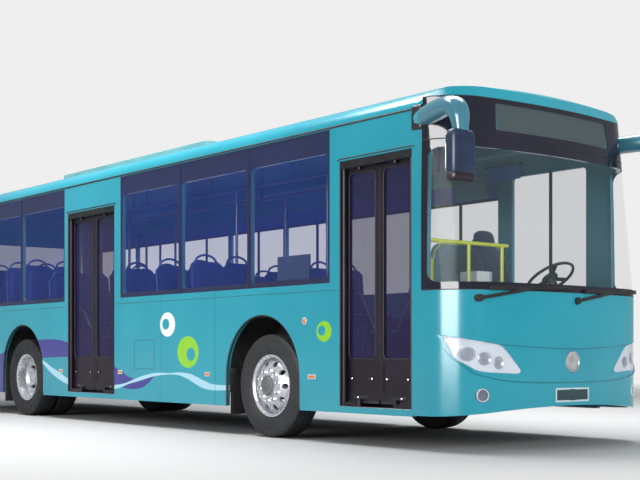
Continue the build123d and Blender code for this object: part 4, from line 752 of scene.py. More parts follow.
pane_y = 1.240
film_lift = {side: on_side(side, pane_y + 0.00085, pane_y + 0.00015) for side in (-1, 1)}
borders, joints = {-1: [], 1: []}, []
for side, bands in ((-1, kerb_bands), (1, road_bands)):
    for start, end, panes in bands:
        edges = np.linspace(start, end, panes + 1)
        for low_x, high_x in zip(edges[:-1], edges[1:]):
            outer = rounded_loop(
                (low_x + joint_half, high_x - joint_half), (glass_low, glass_high), 0.0008,
            )
            inner = rounded_loop(
                (low_x + post_half, high_x - post_half), (light_low, light_high), window_corner,
            )
            borders[side].append(border_plate(outer, inner, film_lift[side]))
        for edge_x in edges[1:-1]:
            ends = sorted((side * (pane_y + 0.0002), side * (pane_y + 0.0070)))
            joints.append(slab((edge_x - joint_half, edge_x + joint_half), ends, (glass_low, glass_high)))
outer = rounded_loop(driver_band[:2], (driver_low, glass_high), 0.0008)
inner = rounded_loop(
    (driver_band[0] + post_half, driver_band[1] - post_half), (driver_low + post_half, light_high),
    window_corner,
)
borders[1].append(border_plate(outer, inner, film_lift[1]))
make_piece("window_borders_right", gather(borders[-1]), ceramic_black)
make_piece("window_borders_left", gather(borders[1]), ceramic_black)
make_piece("window_joints", gather(joints), black_rubber)

# A rubber bead seals the glass to the paint all round each band.
beads = []
for side, bands in ((-1, kerb_bands), (1, road_bands + [driver_band])):
    for start, end, panes in bands:
        low_z = driver_low if panes == 1 else glass_low
        loop = rounded_loop((start - 0.001, end + 0.001), (low_z - 0.001, glass_high + 0.001), 0.006, 5)
        path = on_wall(loop, side * (pane_y + 0.0062))
        beads.append(carried(path, round_section(0.0034, 6), closed=True, upright=(0, 1, 0)))
make_piece("window_beads", gather(beads), black_rubber)

anodised_black = plain_finish(
    "anodised_black", (0.012, 0.012, 0.014), (0.028, 0.028, 0.030), (0.30, 0.45), grain=18.0, bump=0.08,
    bump_scale=420.0, Metallic=0.5,
)
cover(anodised_black, "window_bars")

# ---- Doors ----
# Four aluminium leaves in dark stove enamel, glazed above a pressed lower panel, with rubber
# edges where a pair meets, slim grab bars inside and small steel brackets at knee height.
door_enamel = plain_finish(
    "door_enamel", (0.014, 0.009, 0.017), (0.024, 0.015, 0.028), (0.30, 0.42), grain=3.0, bump=0.05,
    bump_scale=600.0, Specular_IOR_Level=0.25,
)
grab_enamel = plain_finish(
    "grab_enamel", (0.10, 0.22, 0.24), (0.14, 0.28, 0.30), (0.25, 0.38), grain=12.0, bump=0.04,
    bump_scale=500.0,
)
leaf_outer_y, leaf_inner_y = -1.193, -1.157
leaf_low, leaf_high = 0.400, 2.450
bead_inset = 0.0455
plate_z, kick_z = 0.590, 0.425
door_light_z, door_light_corner = (0.7645, 2.4045), 0.046
grab_reach, grab_top_z, grab_foot_z = 0.050, 1.345, 1.000
screw_profile = [(0.0105, -0.001), (0.0105, 0.0045), (0.007, 0.0075), (0.002, 0.0085)]
leaf_table = [
    # name, jamb-side edge x, meeting edge x
    ("front_fore", 4.775, 4.338),
    ("front_aft", 3.885, 4.322),
    ("middle_fore", -0.175, -0.717),
    ("middle_aft", -1.275, -0.733),
]
for name, jamb_x, meeting_x in leaf_table:
    body = name + "_leaf"
    way = 1 if meeting_x > jamb_x else -1
    cover(door_enamel, "door_leaf_" + name, "door_column_" + name)
    cover(door_glass, "door_glass_" + name)
    seal_x = sorted((meeting_x - way * 0.004, meeting_x + way * 0.0065))
    seal = slab(
        seal_x, (leaf_outer_y + 0.004, leaf_inner_y - 0.004), (leaf_low + 0.006, leaf_high - 0.006),
    )
    sweep_x = sorted((jamb_x + way * 0.012, meeting_x - way * 0.006))
    sweep_edge = slab(
        sweep_x, (leaf_outer_y + 0.008, leaf_inner_y - 0.008), (leaf_low - 0.026, leaf_low + 0.004),
    )
    bevelled(
        make_piece("door_seal_" + name, gather([seal, sweep_edge]), black_rubber, body),
        0.0025,
    )
    bead_x = sorted((jamb_x + way * bead_inset, meeting_x - way * bead_inset))
    bead_path = on_wall(rounded_loop(bead_x, door_light_z, door_light_corner, 7), leaf_outer_y + 0.0015)
    bead = carried(bead_path, round_section(0.0045, 8), closed=True, upright=(0, 1, 0))
    make_piece("door_bead_" + name, bead, black_rubber, body)
    near, away = jamb_x + way * 0.085, meeting_x - way * 0.105
    plates, screws = [], []
    for centre, z, half, tall in (
        (away, plate_z, 0.028, 0.014), (jamb_x + way * 0.20, kick_z, 0.090, 0.016),
    ):
        plates.append(
            slab(
                (centre - half, centre + half), (leaf_outer_y - 0.004, leaf_outer_y + 0.003),
                (z - tall, z + tall),
            )
        )
    for centre, z in ((near, plate_z), (jamb_x + way * 0.165, kick_z), (away + way * 0.018, plate_z)):
        screws.append(turned(screw_profile, 16, (centre, leaf_outer_y, z), (0, -1, 0)))
    bevelled(make_piece("door_plates_" + name, gather(plates), ceramic_black, body), 0.002)
    make_piece("door_screws_" + name, gather(screws), bright_steel, body)
    bar_top = np.array((near + way * 0.02, leaf_inner_y + grab_reach, grab_top_z))
    bar_low = np.array((away - way * 0.02, leaf_inner_y + grab_reach, grab_foot_z))
    foot = np.array((0, -0.054, 0))
    spans = np.array([0.04, 0.12, 0.5, 0.88, 0.96])[:, None]
    bar = bar_top + spans * (bar_low - bar_top)
    path = [bar_top + foot, bar_top + 0.35 * foot, *bar, bar_low + 0.35 * foot, bar_low + foot]
    make_piece(
        "door_grab_" + name, carried(path, round_section(0.012, 14)), grab_enamel, body, 60,
    )

# Doorway edges: a bright sill plate, a dark inner jamb strip each side and a drip rail above.
sill_steel = plain_finish(
    "sill_steel", (0.36, 0.40, 0.41), (0.50, 0.54, 0.55), (0.25, 0.42), grain=22.0, bump=0.25,
    bump_scale=70.0, Metallic=0.9,
)
sill_y, jamb_y = (-1.2495, -1.200), (-1.2492, -1.2015)
drip_z, drip_fall = 2.540, 0.008
for name, low_x, high_x in (("front", 3.865, 4.795), ("middle", -1.295, -0.155)):
    sill = slab((low_x + 0.002, high_x - 0.002), sill_y, (0.3402, 0.3445))
    bevelled(make_piece("door_sill_" + name, sill, sill_steel), 0.001)
    jambs = [
        slab(x, jamb_y, (0.346, 2.447))
        for x in ((low_x + 0.0003, low_x + 0.0085), (high_x - 0.0085, high_x - 0.0003))
    ]
    bevelled(make_piece("door_jambs_" + name, gather(jambs), black_rubber), 0.002)
    rail = [
        (low_x - 0.030, drip_z - drip_fall), (low_x + 0.010, drip_z), (high_x - 0.010, drip_z),
        (high_x + 0.030, drip_z - drip_fall),
    ]
    drip_rail = carried(
        on_wall(np.array(rail), -skin_y - 0.0002), round_section(0.006, 10), upright=(0, 1, 0),
    )
    make_piece("door_drip_rail_" + name, drip_rail, black_rubber)
step_lining = plain_finish(
    "step_lining", (0.055, 0.050, 0.060), (0.085, 0.078, 0.090), (0.35, 0.55), grain=10.0, bump=0.3,
    bump_scale=200.0,
)
cover(step_lining, "step_wells")

# ---- Windscreen and sign glass ----
# Laminated clear glass curved round the front corners, bonded with a black ceramic border.
# The upper pane is smoked and covers the blank destination display.
nose_x = 5.465
bow_radius, corner_radius = 5.5, 0.45
corner_y = skin_y - corner_radius
bow_x = nose_x - bow_radius
corner_x = bow_x + sqrt((bow_radius - corner_radius) ** 2 - corner_y**2)
bow_swing = np.arctan2(corner_y, corner_x - bow_x)
bow_reach = bow_radius * bow_swing
corner_reach = corner_radius * (np.pi / 2 - bow_swing)
rake_height, rake = 1.350, 0.11


def nose_place(along, height, inset=0.0):
    """Point on the front skin: along is the distance round its plan from the centre line.

    The plan is a bow of 5.5 m, then a corner of 0.45 m, then the straight side; inset moves
    it square inward, and above 1.35 m it leans back 0.11 for each metre of height."""
    along, height = np.broadcast_arrays(np.asarray(along, float), np.asarray(height, float))
    reach = np.abs(along)
    bow = np.minimum(reach, bow_reach) / bow_radius
    turn = bow_swing + np.clip(reach - bow_reach, 0, corner_reach) / corner_radius
    straight = np.maximum(reach - bow_reach - corner_reach, 0)
    on_bow = reach <= bow_reach
    x = np.where(
        on_bow, bow_x + (bow_radius - inset) * np.cos(bow),
        corner_x + (corner_radius - inset) * np.cos(turn) - straight,
    )
    y = np.where(
        on_bow, (bow_radius - inset) * np.sin(bow), corner_y + (corner_radius - inset) * np.sin(turn),
    )
    return np.stack([x - rake * np.maximum(height - rake_height, 0), np.sign(along) * y, height], -1)


def round_nose(y):
    """Distance round the front skin's plan at which it is y from the centre line."""
    y = np.asarray(y, float)
    bow = bow_radius * np.arcsin(np.clip(np.abs(y) / bow_radius, 0, 1))
    corner = bow_reach + corner_radius * (
        np.arcsin(np.clip((np.abs(y) - corner_y) / corner_radius, 0, 1)) - bow_swing
    )
    return np.sign(y) * np.where(bow <= bow_reach, bow, corner)


def on_nose(outer_inset, inner_inset):
    """Lift for a plate on the front skin, between two depths under it."""
    def lift(across, up, layer):
        return nose_place(across, up, outer_inset + (inner_inset - outer_inset) * layer)

    return lift


def fine_loop(loop, step):
    """The loop with points added so that none is further than step from the next."""
    ahead = np.roll(loop, -1, 0)
    counts = np.maximum(np.ceil(np.linalg.norm(ahead - loop, axis=1) / step).astype(int), 1)
    start = np.repeat(np.arange(len(loop)), counts)
    share = np.concatenate([np.arange(count) / count for count in counts])[:, None]
    return loop[start] * (1 - share) + ahead[start] * share


def border_pair(across, up, margins, radius, step=0.03):
    """Outer rectangle loop and rounded inner loop of a frame, matched point to point.

    margins are left, right, low and high. Each inner point's offset from the inner middle, in
    half-sizes and divided by the larger of its two shares, gives the point on the rectangle."""
    left, right, low, high = margins
    inner = fine_loop(
        rounded_loop((across[0] + left, across[1] - right), (up[0] + low, up[1] - high), radius), step,
    )
    middle = np.array([(across[0] + across[1]) / 2, (up[0] + up[1]) / 2])
    half = np.array([(across[1] - across[0]) / 2, (up[1] - up[0]) / 2])
    inner_half = half - np.array([(left + right) / 2, (low + high) / 2])
    inner_middle = middle + np.array([(left - right) / 2, (low - high) / 2])
    square = (inner - inner_middle) / inner_half
    square /= np.abs(square).max(axis=1, keepdims=True)
    return middle + square * half, inner


screen_glass = tinted_glass("screen_glass", (0.30, 0.38, 0.40), 0.05, (0.0, 0.02))
gloss_ceramic = plain_finish(
    "gloss_ceramic", (0.010, 0.010, 0.022), (0.016, 0.015, 0.030), (0.04, 0.09), grain=2.0, bump=0.02,
    bump_scale=4.0,
)
cover(screen_glass, "windscreen")
side_x = 4.905


def edge_reach(height):
    """Distance round the plan to the glass's upright rear edge at x = 4.905, for a height."""
    return bow_reach + corner_reach + (
        corner_x - rake * np.maximum(np.asarray(height) - rake_height, 0) - side_x
    )


def screen_border(low_z, high_z, margins, radius, steps):
    """Ceramic border of the glass, its loops stretched so that their ends stay on the edge."""
    outer, inner = border_pair((-1.0, 1.0), (low_z, high_z), margins, radius, 0.02)
    stretch = [np.stack([loop[:, 0] * edge_reach(loop[:, 1]), loop[:, 1]], 1) for loop in (outer, inner)]
    return border_plate(*stretch, on_nose(0.0006, 0.0060), steps)


screen_borders = [
    # name, low z, high z, margins left, right, low and high, corner radius, steps across
    ("screen_border", 1.336, 2.567, (0.040, 0.040, 0.058, 0.062), 0.085, 4),
    ("sign_border", 2.577, 2.924, (0.475, 0.475, 0.084, 0.034), 0.012, 24),
]
for name, low_z, high_z, margins, radius, steps in screen_borders:
    border = screen_border(low_z, high_z, margins, radius, steps)
    make_piece(name, border, gloss_ceramic)
line_points = 161
for name, height in (("low", 1.3315), ("middle", 2.572), ("high", 2.9275)):
    path = nose_place(np.linspace(-0.9995, 0.9995, line_points) * edge_reach(height), height, 0.0035)
    make_piece("screen_bead_" + name, carried(path, round_section(0.0048, 8)), black_rubber)

# The display is a matt black board with a darker blank panel of unlit dots.
sign_board, place = begin_material("sign_board")
dots = add_node(
    sign_board, "ShaderNodeTexVoronoi", {"Vector": place, "Scale": 70.0}, feature="F1",
    distance="EUCLIDEAN",
)
lit = add_node(
    sign_board, "ShaderNodeMapRange",
    {"Value": dots.outputs["Distance"], 1: 0.25, 2: 0.35, 3: 1.0, 4: 0.0},
).outputs[0]
shade = blend_colour(sign_board, lit, (0.030, 0.050, 0.058, 1), (0.055, 0.085, 0.090, 1))
end_material(sign_board, place, shade, 0.45, bump=0.05, bump_scale=400.0)
cover(sign_board, "destination_sign")

# ---- Wipers ----
# Black cranked steel arms on bosses below the glass, each pressing a rubber blade on the
# screen. Their solids have the whole form, so only the finish is set here.
wiper_black = plain_finish(
    "wiper_black", (0.010, 0.010, 0.012), (0.020, 0.020, 0.023), (0.35, 0.5), grain=14.0, bump=0.1,
    bump_scale=350.0,
)
cover(wiper_black, "wipers")

# ---- Front face: creases, bare ring, number plate and lamps ----
# The mask is pressed with two creases over the lamps and the bumper. A plain chromed ring
# and a blank plate in its frame are screwed on, and the lamps sit in white housings.


def smooth_line(points, count):
    """Points of a smooth curve through table points, by cubic interpolation on their order."""
    points = np.asarray(points, float)
    position = np.linspace(0, len(points) - 1, count)
    index = np.clip(position.astype(int), 0, len(points) - 2)
    share = (position - index)[:, None]
    padded = np.concatenate([[2 * points[0] - points[1]], points, [2 * points[-1] - points[-2]]])
    before, first, second, after = (padded[index + step] for step in range(4))
    square = 2 * before - 5 * first + 4 * second - after
    cube = 3 * (first - second) + after - before
    return first + 0.5 * share * (second - before + share * (square + share * cube))


def tapered(path, section, scale, upright=(0, 0, 1)):
    """A section carried along a path, its size times scale at each point, with flat ends."""
    points, faces = carried(path, section, upright=upright)
    centres = np.repeat(path, len(section), axis=0)
    return centres + (points - centres) * np.repeat(scale, len(section))[:, None], faces


swages = [
    # name, points (y, z), half-height
    (
        "upper",
        [
            (-0.98, 0.905), (-0.80, 0.885), (-0.50, 0.866), (0.0, 0.852), (0.50, 0.866), (0.80, 0.885),
            (0.98, 0.905),
        ],
        0.011,
    ),
    (
        "lower",
        [
            (-1.215, 0.850), (-1.175, 0.770), (-1.10, 0.690), (-1.03, 0.640), (-0.80, 0.592),
            (-0.50, 0.572), (0.0, 0.565), (0.50, 0.572), (0.80, 0.592), (1.03, 0.640), (1.10, 0.690),
            (1.175, 0.770), (1.215, 0.850),
        ],
        0.012,
    ),
]
for name, line, half in swages:
    curve = smooth_line(line, line_points)
    path = nose_place(round_nose(curve[:, 0]), curve[:, 1])
    swell = np.sin(np.linspace(0.02, np.pi - 0.02, line_points)) ** 0.35
    make_piece(
        "swage_" + name, tapered(path, round_section(half, 10, 0.35), swell), body_paint,
        smooth_below=60,
    )

ring_place = nose_place(0.0, 0.741)
ring_profile = [
    (0.093, -0.001), (0.093, 0.005), (0.090, 0.0085), (0.085, 0.0090), (0.081, 0.0075), (0.0795, 0.003),
    (0.070, 0.0025), (0.040, 0.0030), (0.010, 0.0035),
]
make_piece("front_ring", turned(ring_profile, 72, ring_place, (1, 0, 0)), bright_steel)

plate_white = plain_finish(
    "plate_white", (0.50, 0.66, 0.70), (0.58, 0.74, 0.78), (0.3, 0.4), grain=8.0, bump=0.05,
    bump_scale=300.0,
)
plate_dark = plain_finish(
    "plate_dark", (0.020, 0.050, 0.060), (0.030, 0.065, 0.075), (0.35, 0.45), grain=8.0, bump=0.05,
    bump_scale=300.0,
)
front_plate_half, front_plate_z, front_plate_inset = 0.220, (0.400, 0.520), 0.012
plate_loops = [
    rounded_loop(
        (trim - front_plate_half, front_plate_half - trim),
        (front_plate_z[0] + trim, front_plate_z[1] - trim), 0.010 - trim / 3,
    )
    for trim in (0.0, 0.0155)
]
plate_bow = 11.0


def on_plate(across, up, layer):
    """Lift for the plate's frame: it bows back by across squared over 11, 6 mm from back to front."""
    return np.stack([nose_x + 0.0015 + 0.006 * (1 - layer) - across**2 / plate_bow, across, up], 1)


make_piece("plate_frame", border_plate(*plate_loops, on_plate), plate_white)
plate_across = np.linspace(front_plate_inset - front_plate_half, front_plate_half - front_plate_inset, 13)
plate_up = np.linspace(front_plate_z[0] + front_plate_inset, front_plate_z[1] - front_plate_inset, 5)
across, up = np.meshgrid(plate_across, plate_up, indexing="ij")
plate_front = np.stack([nose_x + 0.004 - across**2 / plate_bow, across, up], -1)
plate = closed_sheet(plate_front, plate_front - (0.003, 0, 0))
make_piece("number_plate", plate, plate_dark)

# Each headlamp is a curved leaf: a white moulded housing with three round bowls under a clear
# cover, let into the mask with a painted surround. The round fog lamps sit in the bumper.
lamp_white = plain_finish(
    "lamp_white", (0.76, 0.79, 0.86), (0.84, 0.87, 0.92), (0.18, 0.30), grain=9.0, bump=0.03,
    bump_scale=300.0, Coat_Weight=0.4,
)
lamp_chrome = plain_finish(
    "lamp_chrome", (0.60, 0.62, 0.68), (0.75, 0.77, 0.80), (0.08, 0.18), grain=14.0, bump=0.05,
    bump_scale=200.0, Metallic=1.0,
)
lamp_glass = tinted_glass("lamp_glass", (0.55, 0.62, 0.70), 0.16, (0.0, 0.03))
lamp_dome = tinted_glass("lamp_dome", (0.10, 0.12, 0.18), 0.45, (0.0, 0.04), 0.8)
lamp_corners = np.array(
    [(1.225, 0.960), (1.084, 0.925), (0.812, 0.882), (0.578, 0.640), (1.028, 0.662), (1.176, 0.773)]
)
lamp_middle = np.array([0.900, 0.785])
lamp_bowls = [
    # distance from the middle of the bus, height, radius
    (1.100, 0.806, 0.060),
    (0.974, 0.768, 0.057),
    (0.838, 0.734, 0.054),
]
# The outline is rounded by cutting each corner at a quarter of both its sides, four times over.
middles = (lamp_corners + np.roll(lamp_corners, -1, 0)) / 2
outline = np.stack([lamp_corners, middles], 1).reshape(-1, 2)
for cut in range(4):
    ahead = np.roll(outline, -1, 0)
    outline = np.stack([0.75 * outline + 0.25 * ahead, 0.25 * outline + 0.75 * ahead], 1).reshape(-1, 2)


def polar_reach(loop, angles):
    """Distance from the lamp's middle to a loop round it, at each angle."""
    offset = fine_loop(loop, 0.004) - lamp_middle
    angle = np.arctan2(offset[:, 1], offset[:, 0])
    order = np.argsort(angle)
    return np.interp(angles, angle[order], np.hypot(*offset.T)[order], period=2 * np.pi)


smooth_offset = fine_loop(outline, 0.006) - lamp_middle
lamp_angles = np.sort(np.arctan2(smooth_offset[:, 1], smooth_offset[:, 0]))
lamp_spoke = np.stack([np.cos(lamp_angles), np.sin(lamp_angles)], 1)
smooth_reach = polar_reach(outline, lamp_angles)
corner_reach_out = polar_reach(lamp_corners, lamp_angles)


def lamp_loop(reach):
    """Points of (distance from the middle of the bus, height) this far from the lamp's middle."""
    return lamp_middle + lamp_spoke * reach[:, None]


def on_lamp(side, points, inset):
    """Points of (distance from the middle, height) laid on one side of the nose at a depth."""
    return nose_place(side * round_nose(points[..., 0]), points[..., 1], inset)


def lamp_shell(side, rings, front_inset, back_inset):
    """A closed dish on the nose between two depths; rings are shares of the lamp's outline.

    front_inset gives a depth for each point and its ring, back_inset is one depth."""
    rings = np.asarray(rings)[:, None]
    grid = lamp_middle + lamp_spoke[None] * (smooth_reach[None, :, None] * rings[..., None])
    front, back = on_lamp(side, grid, front_inset(grid, rings)), on_lamp(side, grid, back_inset)
    count = len(lamp_angles)
    faces = quads(len(rings), count, False, True)
    behind = len(rings) * count
    hub, ahead = np.arange(count), np.roll(np.arange(count), -1)
    edge = behind - count
    wall = np.stack([edge + hub, edge + ahead, behind + edge + ahead, behind + edge + hub], 1)
    core = np.stack([hub, ahead, behind + ahead, behind + hub], 1)
    points = np.concatenate([front.reshape(-1, 3), back.reshape(-1, 3)])
    return points, np.concatenate([faces, faces + behind, wall, core]).tolist()


def bowl_depth(points, rings):
    """Depth of the housing: 14 mm, 4 mm at its edge, and 26 mm more in each lamp's round bowl.

    A bell curve of the distance from a bowl's middle raises its rim by 3 mm."""
    depth = np.full(points.shape[:-1], 0.014) - 0.010 * np.clip((rings - 0.955) / 0.045, 0, 1)
    for reach, height, radius in lamp_bowls:
        away = np.hypot(points[..., 0] - reach, points[..., 1] - height) / radius
        depth = depth + 0.026 * np.clip((1.0 - away) / 0.25, 0, 1) - 0.003 * np.exp(
            -(((away - 1.06) / 0.07) ** 2)
        )
    return depth


rings = np.concatenate([np.linspace(0.02, 0.9, 45), np.linspace(0.915, 1.0, 8)])
bowl_profile = [
    (0.94, 0.010), (0.94, 0.0235), (0.90, 0.0255), (0.84, 0.0225), (0.60, 0.008), (0.58, 0.002),
    (0.2, 0.0015),
]
dome_bends = np.radians([0, 15, 30, 45, 60, 75, 86])
fog_reach, fog_height, fog_radius = 0.993, 0.472, 0.0465
fog_profile = [
    (0.0545, -0.050), (0.0545, 0.001), (0.052, 0.0035), (0.048, 0.0035), (0.046, -0.006), (0.030, -0.022),
    (0.010, -0.026),
]
fog_bends = np.radians([0, 20, 40, 60, 80])


def surround_lift(side):
    """Lift for the painted surround: 1.6 mm proud of the skin in front, 3 mm under it behind."""
    def lift(across, up, layer):
        return on_lamp(side, np.stack([across, up], -1), -0.0016 + 0.0046 * layer)

    return lift


def cover_depth(points, rings):
    """The clear cover lies 0.8 mm under the skin all over."""
    return 0.0008


housings, covers, surrounds, reflectors, domes, bezels = [], [], [], [], [], []
for side in (-1, 1):
    housings.append(lamp_shell(side, rings, bowl_depth, 0.052))
    covers.append(lamp_shell(side, np.linspace(0.02, 0.990, 12), cover_depth, 0.0030))
    surround = border_plate(
        lamp_loop(corner_reach_out + 0.010), lamp_loop(smooth_reach * 0.994), surround_lift(side),
    )
    surrounds.append(surround)
    for reach, height, radius in lamp_bowls:
        turn = round_nose(reach)
        seat, ahead = nose_place(side * turn, height, 0.040), nose_place(side * turn, height)
        outward = tuple(ahead - seat)
        reflectors.append(turned(np.array(bowl_profile) * (radius, 1), 40, seat, outward))
        bulb_radius = 0.58 * radius
        dome = np.stack([bulb_radius * np.cos(dome_bends), 0.004 + 0.020 * np.sin(dome_bends)], 1)
        domes.append(turned([(bulb_radius, -0.001), *dome], 32, seat, outward))
    middle = nose_place(side * round_nose(fog_reach), fog_height)
    facing = tuple(middle - nose_place(side * round_nose(fog_reach), fog_height, 0.05))
    bezels.append(turned(fog_profile, 48, middle, facing))
    dome = np.stack([fog_radius * np.cos(fog_bends), -0.004 + 0.008 * np.sin(fog_bends)], 1)
    domes.append(turned([(fog_radius, -0.006), *dome], 40, middle, facing))
housing = make_piece("lamp_housings", gather(housings + bezels), lamp_white, smooth_below=55)
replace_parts(housing, "headlamps")
make_piece("lamp_surrounds", gather(surrounds), body_paint)
make_piece("lamp_reflectors", gather(reflectors), lamp_chrome)
make_piece("lamp_domes", gather(domes), lamp_dome, smooth_below=60)
make_piece("lamp_covers", gather(covers), lamp_glass, smooth_below=60)

# ---- Mirrors ----
# Moulded two-part heads in dark plastic with a black lower cap and bright silvered glass, each
# bolted under a broad painted arm that springs from a black block on the front corner.
mirror_dark = plain_finish(
    "mirror_dark", (0.014, 0.026, 0.060), (0.026, 0.044, 0.092), (0.28, 0.40), grain=5.0, bump=0.05,
    bump_scale=500.0, Specular_IOR_Level=0.3,
)
mirror_cap = plain_finish(
    "mirror_cap", (0.010, 0.006, 0.012), (0.020, 0.012, 0.022), (0.35, 0.5), grain=8.0, bump=0.08,
    bump_scale=400.0,
)
mirror_silver = plain_finish(
    "mirror_silver", (0.80, 0.82, 0.84), (0.88, 0.90, 0.91), (0.02, 0.05), grain=4.0, bump=0.01,
    bump_scale=50.0, Metallic=1.0,
)
head_x, head_y = (5.415, 5.535), (1.245, 1.495)


def stacked(levels, x, y, side=1):
    """Rounded rectangles stacked in height; levels are (z, inset from both ranges, corner radius)."""
    loops = []
    for z, inset, radius in levels:
        loop = rounded_loop((x[0] + inset, x[1] - inset), (y[0] + inset, y[1] - inset), radius, 6)
        loops.append(np.stack([loop[:, 0], side * loop[:, 1], np.full(len(loop), z)], 1))
    count = len(loops[0])
    faces = quads(len(loops), count, False, True).tolist()
    faces += [list(range(count)), [(len(loops) - 1) * count + index for index in reversed(range(count))]]
    return np.concatenate(loops), faces


arm_line = [
    # distance along the arm from its root, height
    (0.0, 2.752),
    (0.12, 2.772),
    (0.28, 2.784),
    (0.42, 2.784),
    (0.53, 2.768),
    (0.600, 2.725),
    (0.634, 2.660),
    (0.645, 2.600),
    (0.650, 2.545),
]
arm_root, arm_heading = np.array((4.850, 1.190)), np.array((0.9609, 0.2768))
arm_points = 60
arm_swell = [(0, 0.92), (0.25, 1.02), (0.55, 1.03), (0.75, 0.92), (0.9, 0.76), (1.0, 0.70)]
head_levels = [
    (2.218, 0.004, 0.040), (2.230, 0.0, 0.042), (2.500, 0.0, 0.042), (2.536, 0.004, 0.042),
    (2.552, 0.014, 0.036), (2.560, 0.034, 0.024),
]
cap_levels = [
    (2.160, 0.026, 0.022), (2.164, 0.010, 0.034), (2.174, 0.002, 0.040), (2.214, 0.001, 0.040),
    (2.2195, 0.006, 0.038),
]
angle = np.linspace(0, 2 * np.pi, 24, endpoint=False)
oval = np.stack([np.cos(angle), np.sin(angle)], 1)
arm_half_sizes, arm_squareness = (0.078, 0.084), 0.8
arm_section = arm_half_sizes * np.sign(oval) * np.abs(oval) ** arm_squareness
glass_x, glass_y, glass_z = (5.4128, 5.4165), (1.262, 1.478), (2.232, 2.520)
block_x, block_y, block_z = (4.790, 4.917), (1.185, 1.263), (2.662, 2.870)
for side, name in ((1, "left"), (-1, "right")):
    curve = smooth_line(arm_line, arm_points)
    plan = arm_root + curve[:, :1] * arm_heading
    path = np.stack([plan[:, 0], side * plan[:, 1], curve[:, 1]], 1)
    swell = np.interp(np.linspace(0, 1, arm_points), *zip(*arm_swell))
    square = (-side * arm_heading[1], arm_heading[0], 0)
    arm = tapered(path, arm_section, swell, square)
    make_piece("mirror_arm_" + name, arm, body_paint, smooth_below=60)
    head = stacked(head_levels, head_x, head_y, side)
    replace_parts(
        make_piece("mirror_head_" + name, head, mirror_dark, smooth_below=50), "mirrors",
    )
    cap = stacked(cap_levels, head_x, head_y, side)
    make_piece("mirror_cap_" + name, cap, mirror_cap, smooth_below=50)
    glass = slab(glass_x, sorted(side * y for y in glass_y), glass_z)
    bevelled(make_piece("mirror_glass_" + name, glass, mirror_silver), 0.0012)
    block = slab(block_x, sorted(side * y for y in block_y), block_z)
    bevelled(make_piece("mirror_block_" + name, block, mirror_cap), 0.022, 4)

# ---- Roof ----
# The cooling unit has a moulded cover with slatted air inlets and eight fans under wire
# guards; the hatch is pale plastic with black clamps. Rain strips run along both roof edges.
roof_moulding = plain_finish(
    "roof_moulding", (0.12, 0.34, 0.36), (0.17, 0.40, 0.42), (0.32, 0.45), grain=3.0, bump=0.15,
    bump_scale=350.0,
)
hatch_moulding = plain_finish(
    "hatch_moulding", (0.55, 0.66, 0.67), (0.66, 0.76, 0.77), (0.30, 0.42), grain=4.0, bump=0.1,
    bump_scale=260.0, Subsurface_Weight=0.15,
)
grille_black = plain_finish(
    "grille_black", (0.010, 0.011, 0.012), (0.022, 0.023, 0.025), (0.45, 0.6), grain=16.0, bump=0.2,
    bump_scale=300.0,
)
cover(roof_moulding, "roof_unit")
cover(hatch_moulding, "roof_hatch")
unit_top = 3.190
wire = round_section(0.0035, 6)
well_profile = [(0.218, -0.004), (0.218, 0.002), (0.212, 0.0032), (0.05, 0.0032), (0.045, 0.006)]
angle = np.linspace(0, 2 * np.pi, 48, endpoint=False)
circle = np.stack([np.cos(angle), np.sin(angle), 0 * angle], 1)
guards, wells = [], []
for fan_x in (-2.16, -1.46, -0.26, 0.44):
    for fan_y in (-0.34, 0.34):
        middle = np.array((fan_x, fan_y, unit_top))
        for reach in (0.235, 0.19, 0.145, 0.10, 0.055):
            guards.append(carried(middle + (0, 0, 0.009) + reach * circle, wire, closed=True))
        for turn in np.linspace(0, np.pi, 4, endpoint=False):
            spoke = 0.242 * np.array((np.cos(turn), np.sin(turn), 0))
            foot = np.array((0, 0, 0.006))
            bent = [-spoke - foot, -0.97 * spoke + foot, 0.97 * spoke + foot, spoke - foot]
            guards.append(carried(middle + bent, wire))
        wells.append(turned(well_profile, 48, middle, (0, 0, 1)))
make_piece("fan_guards", gather(guards), grille_black)
make_piece("fan_wells", gather(wells), grille_black)
slat_half, slat_y, slat_z = 0.026, (0.6788, 0.6835), (3.075, 3.135)
clamp_half, clamp_y, clamp_z = 0.035, (0.3695, 0.378), (3.150, 3.195)
slats, clamps, strips = [], [], []
for side in (-1, 1):
    for slat_x in np.arange(-2.45, 0.76, 0.075):
        slats.append(
            slab((slat_x - slat_half, slat_x + slat_half), sorted(side * y for y in slat_y), slat_z)
        )
    for clamp_x in (1.25, 1.75, 2.25):
        clamps.append(
            slab((clamp_x - clamp_half, clamp_x + clamp_half), sorted(side * y for y in clamp_y), clamp_z)
        )
    line = np.linspace((-5.27, side * 1.2495, 2.842), (4.78, side * 1.2495, 2.842), 60)
    strips.append(carried(line, round_section(0.0075, 10, 1.3)))
bevelled(make_piece("unit_slats", gather(slats), grille_black), 0.0015, 1)
bevelled(make_piece("hatch_clamps", gather(clamps), grille_black, "roof_hatch"), 0.003)
make_piece("rain_strips", gather(strips), black_rubber)
vent_levels = [(3.035, 0.0, 0.06), (3.070, 0.0, 0.06), (3.088, 0.02, 0.05), (3.094, 0.05, 0.03)]
vent_x, vent_y = (-4.25, -3.65), (-0.30, 0.30)
vent = stacked(vent_levels, vent_x, vent_y)
make_piece("roof_vents", vent, hatch_moulding, smooth_below=50)

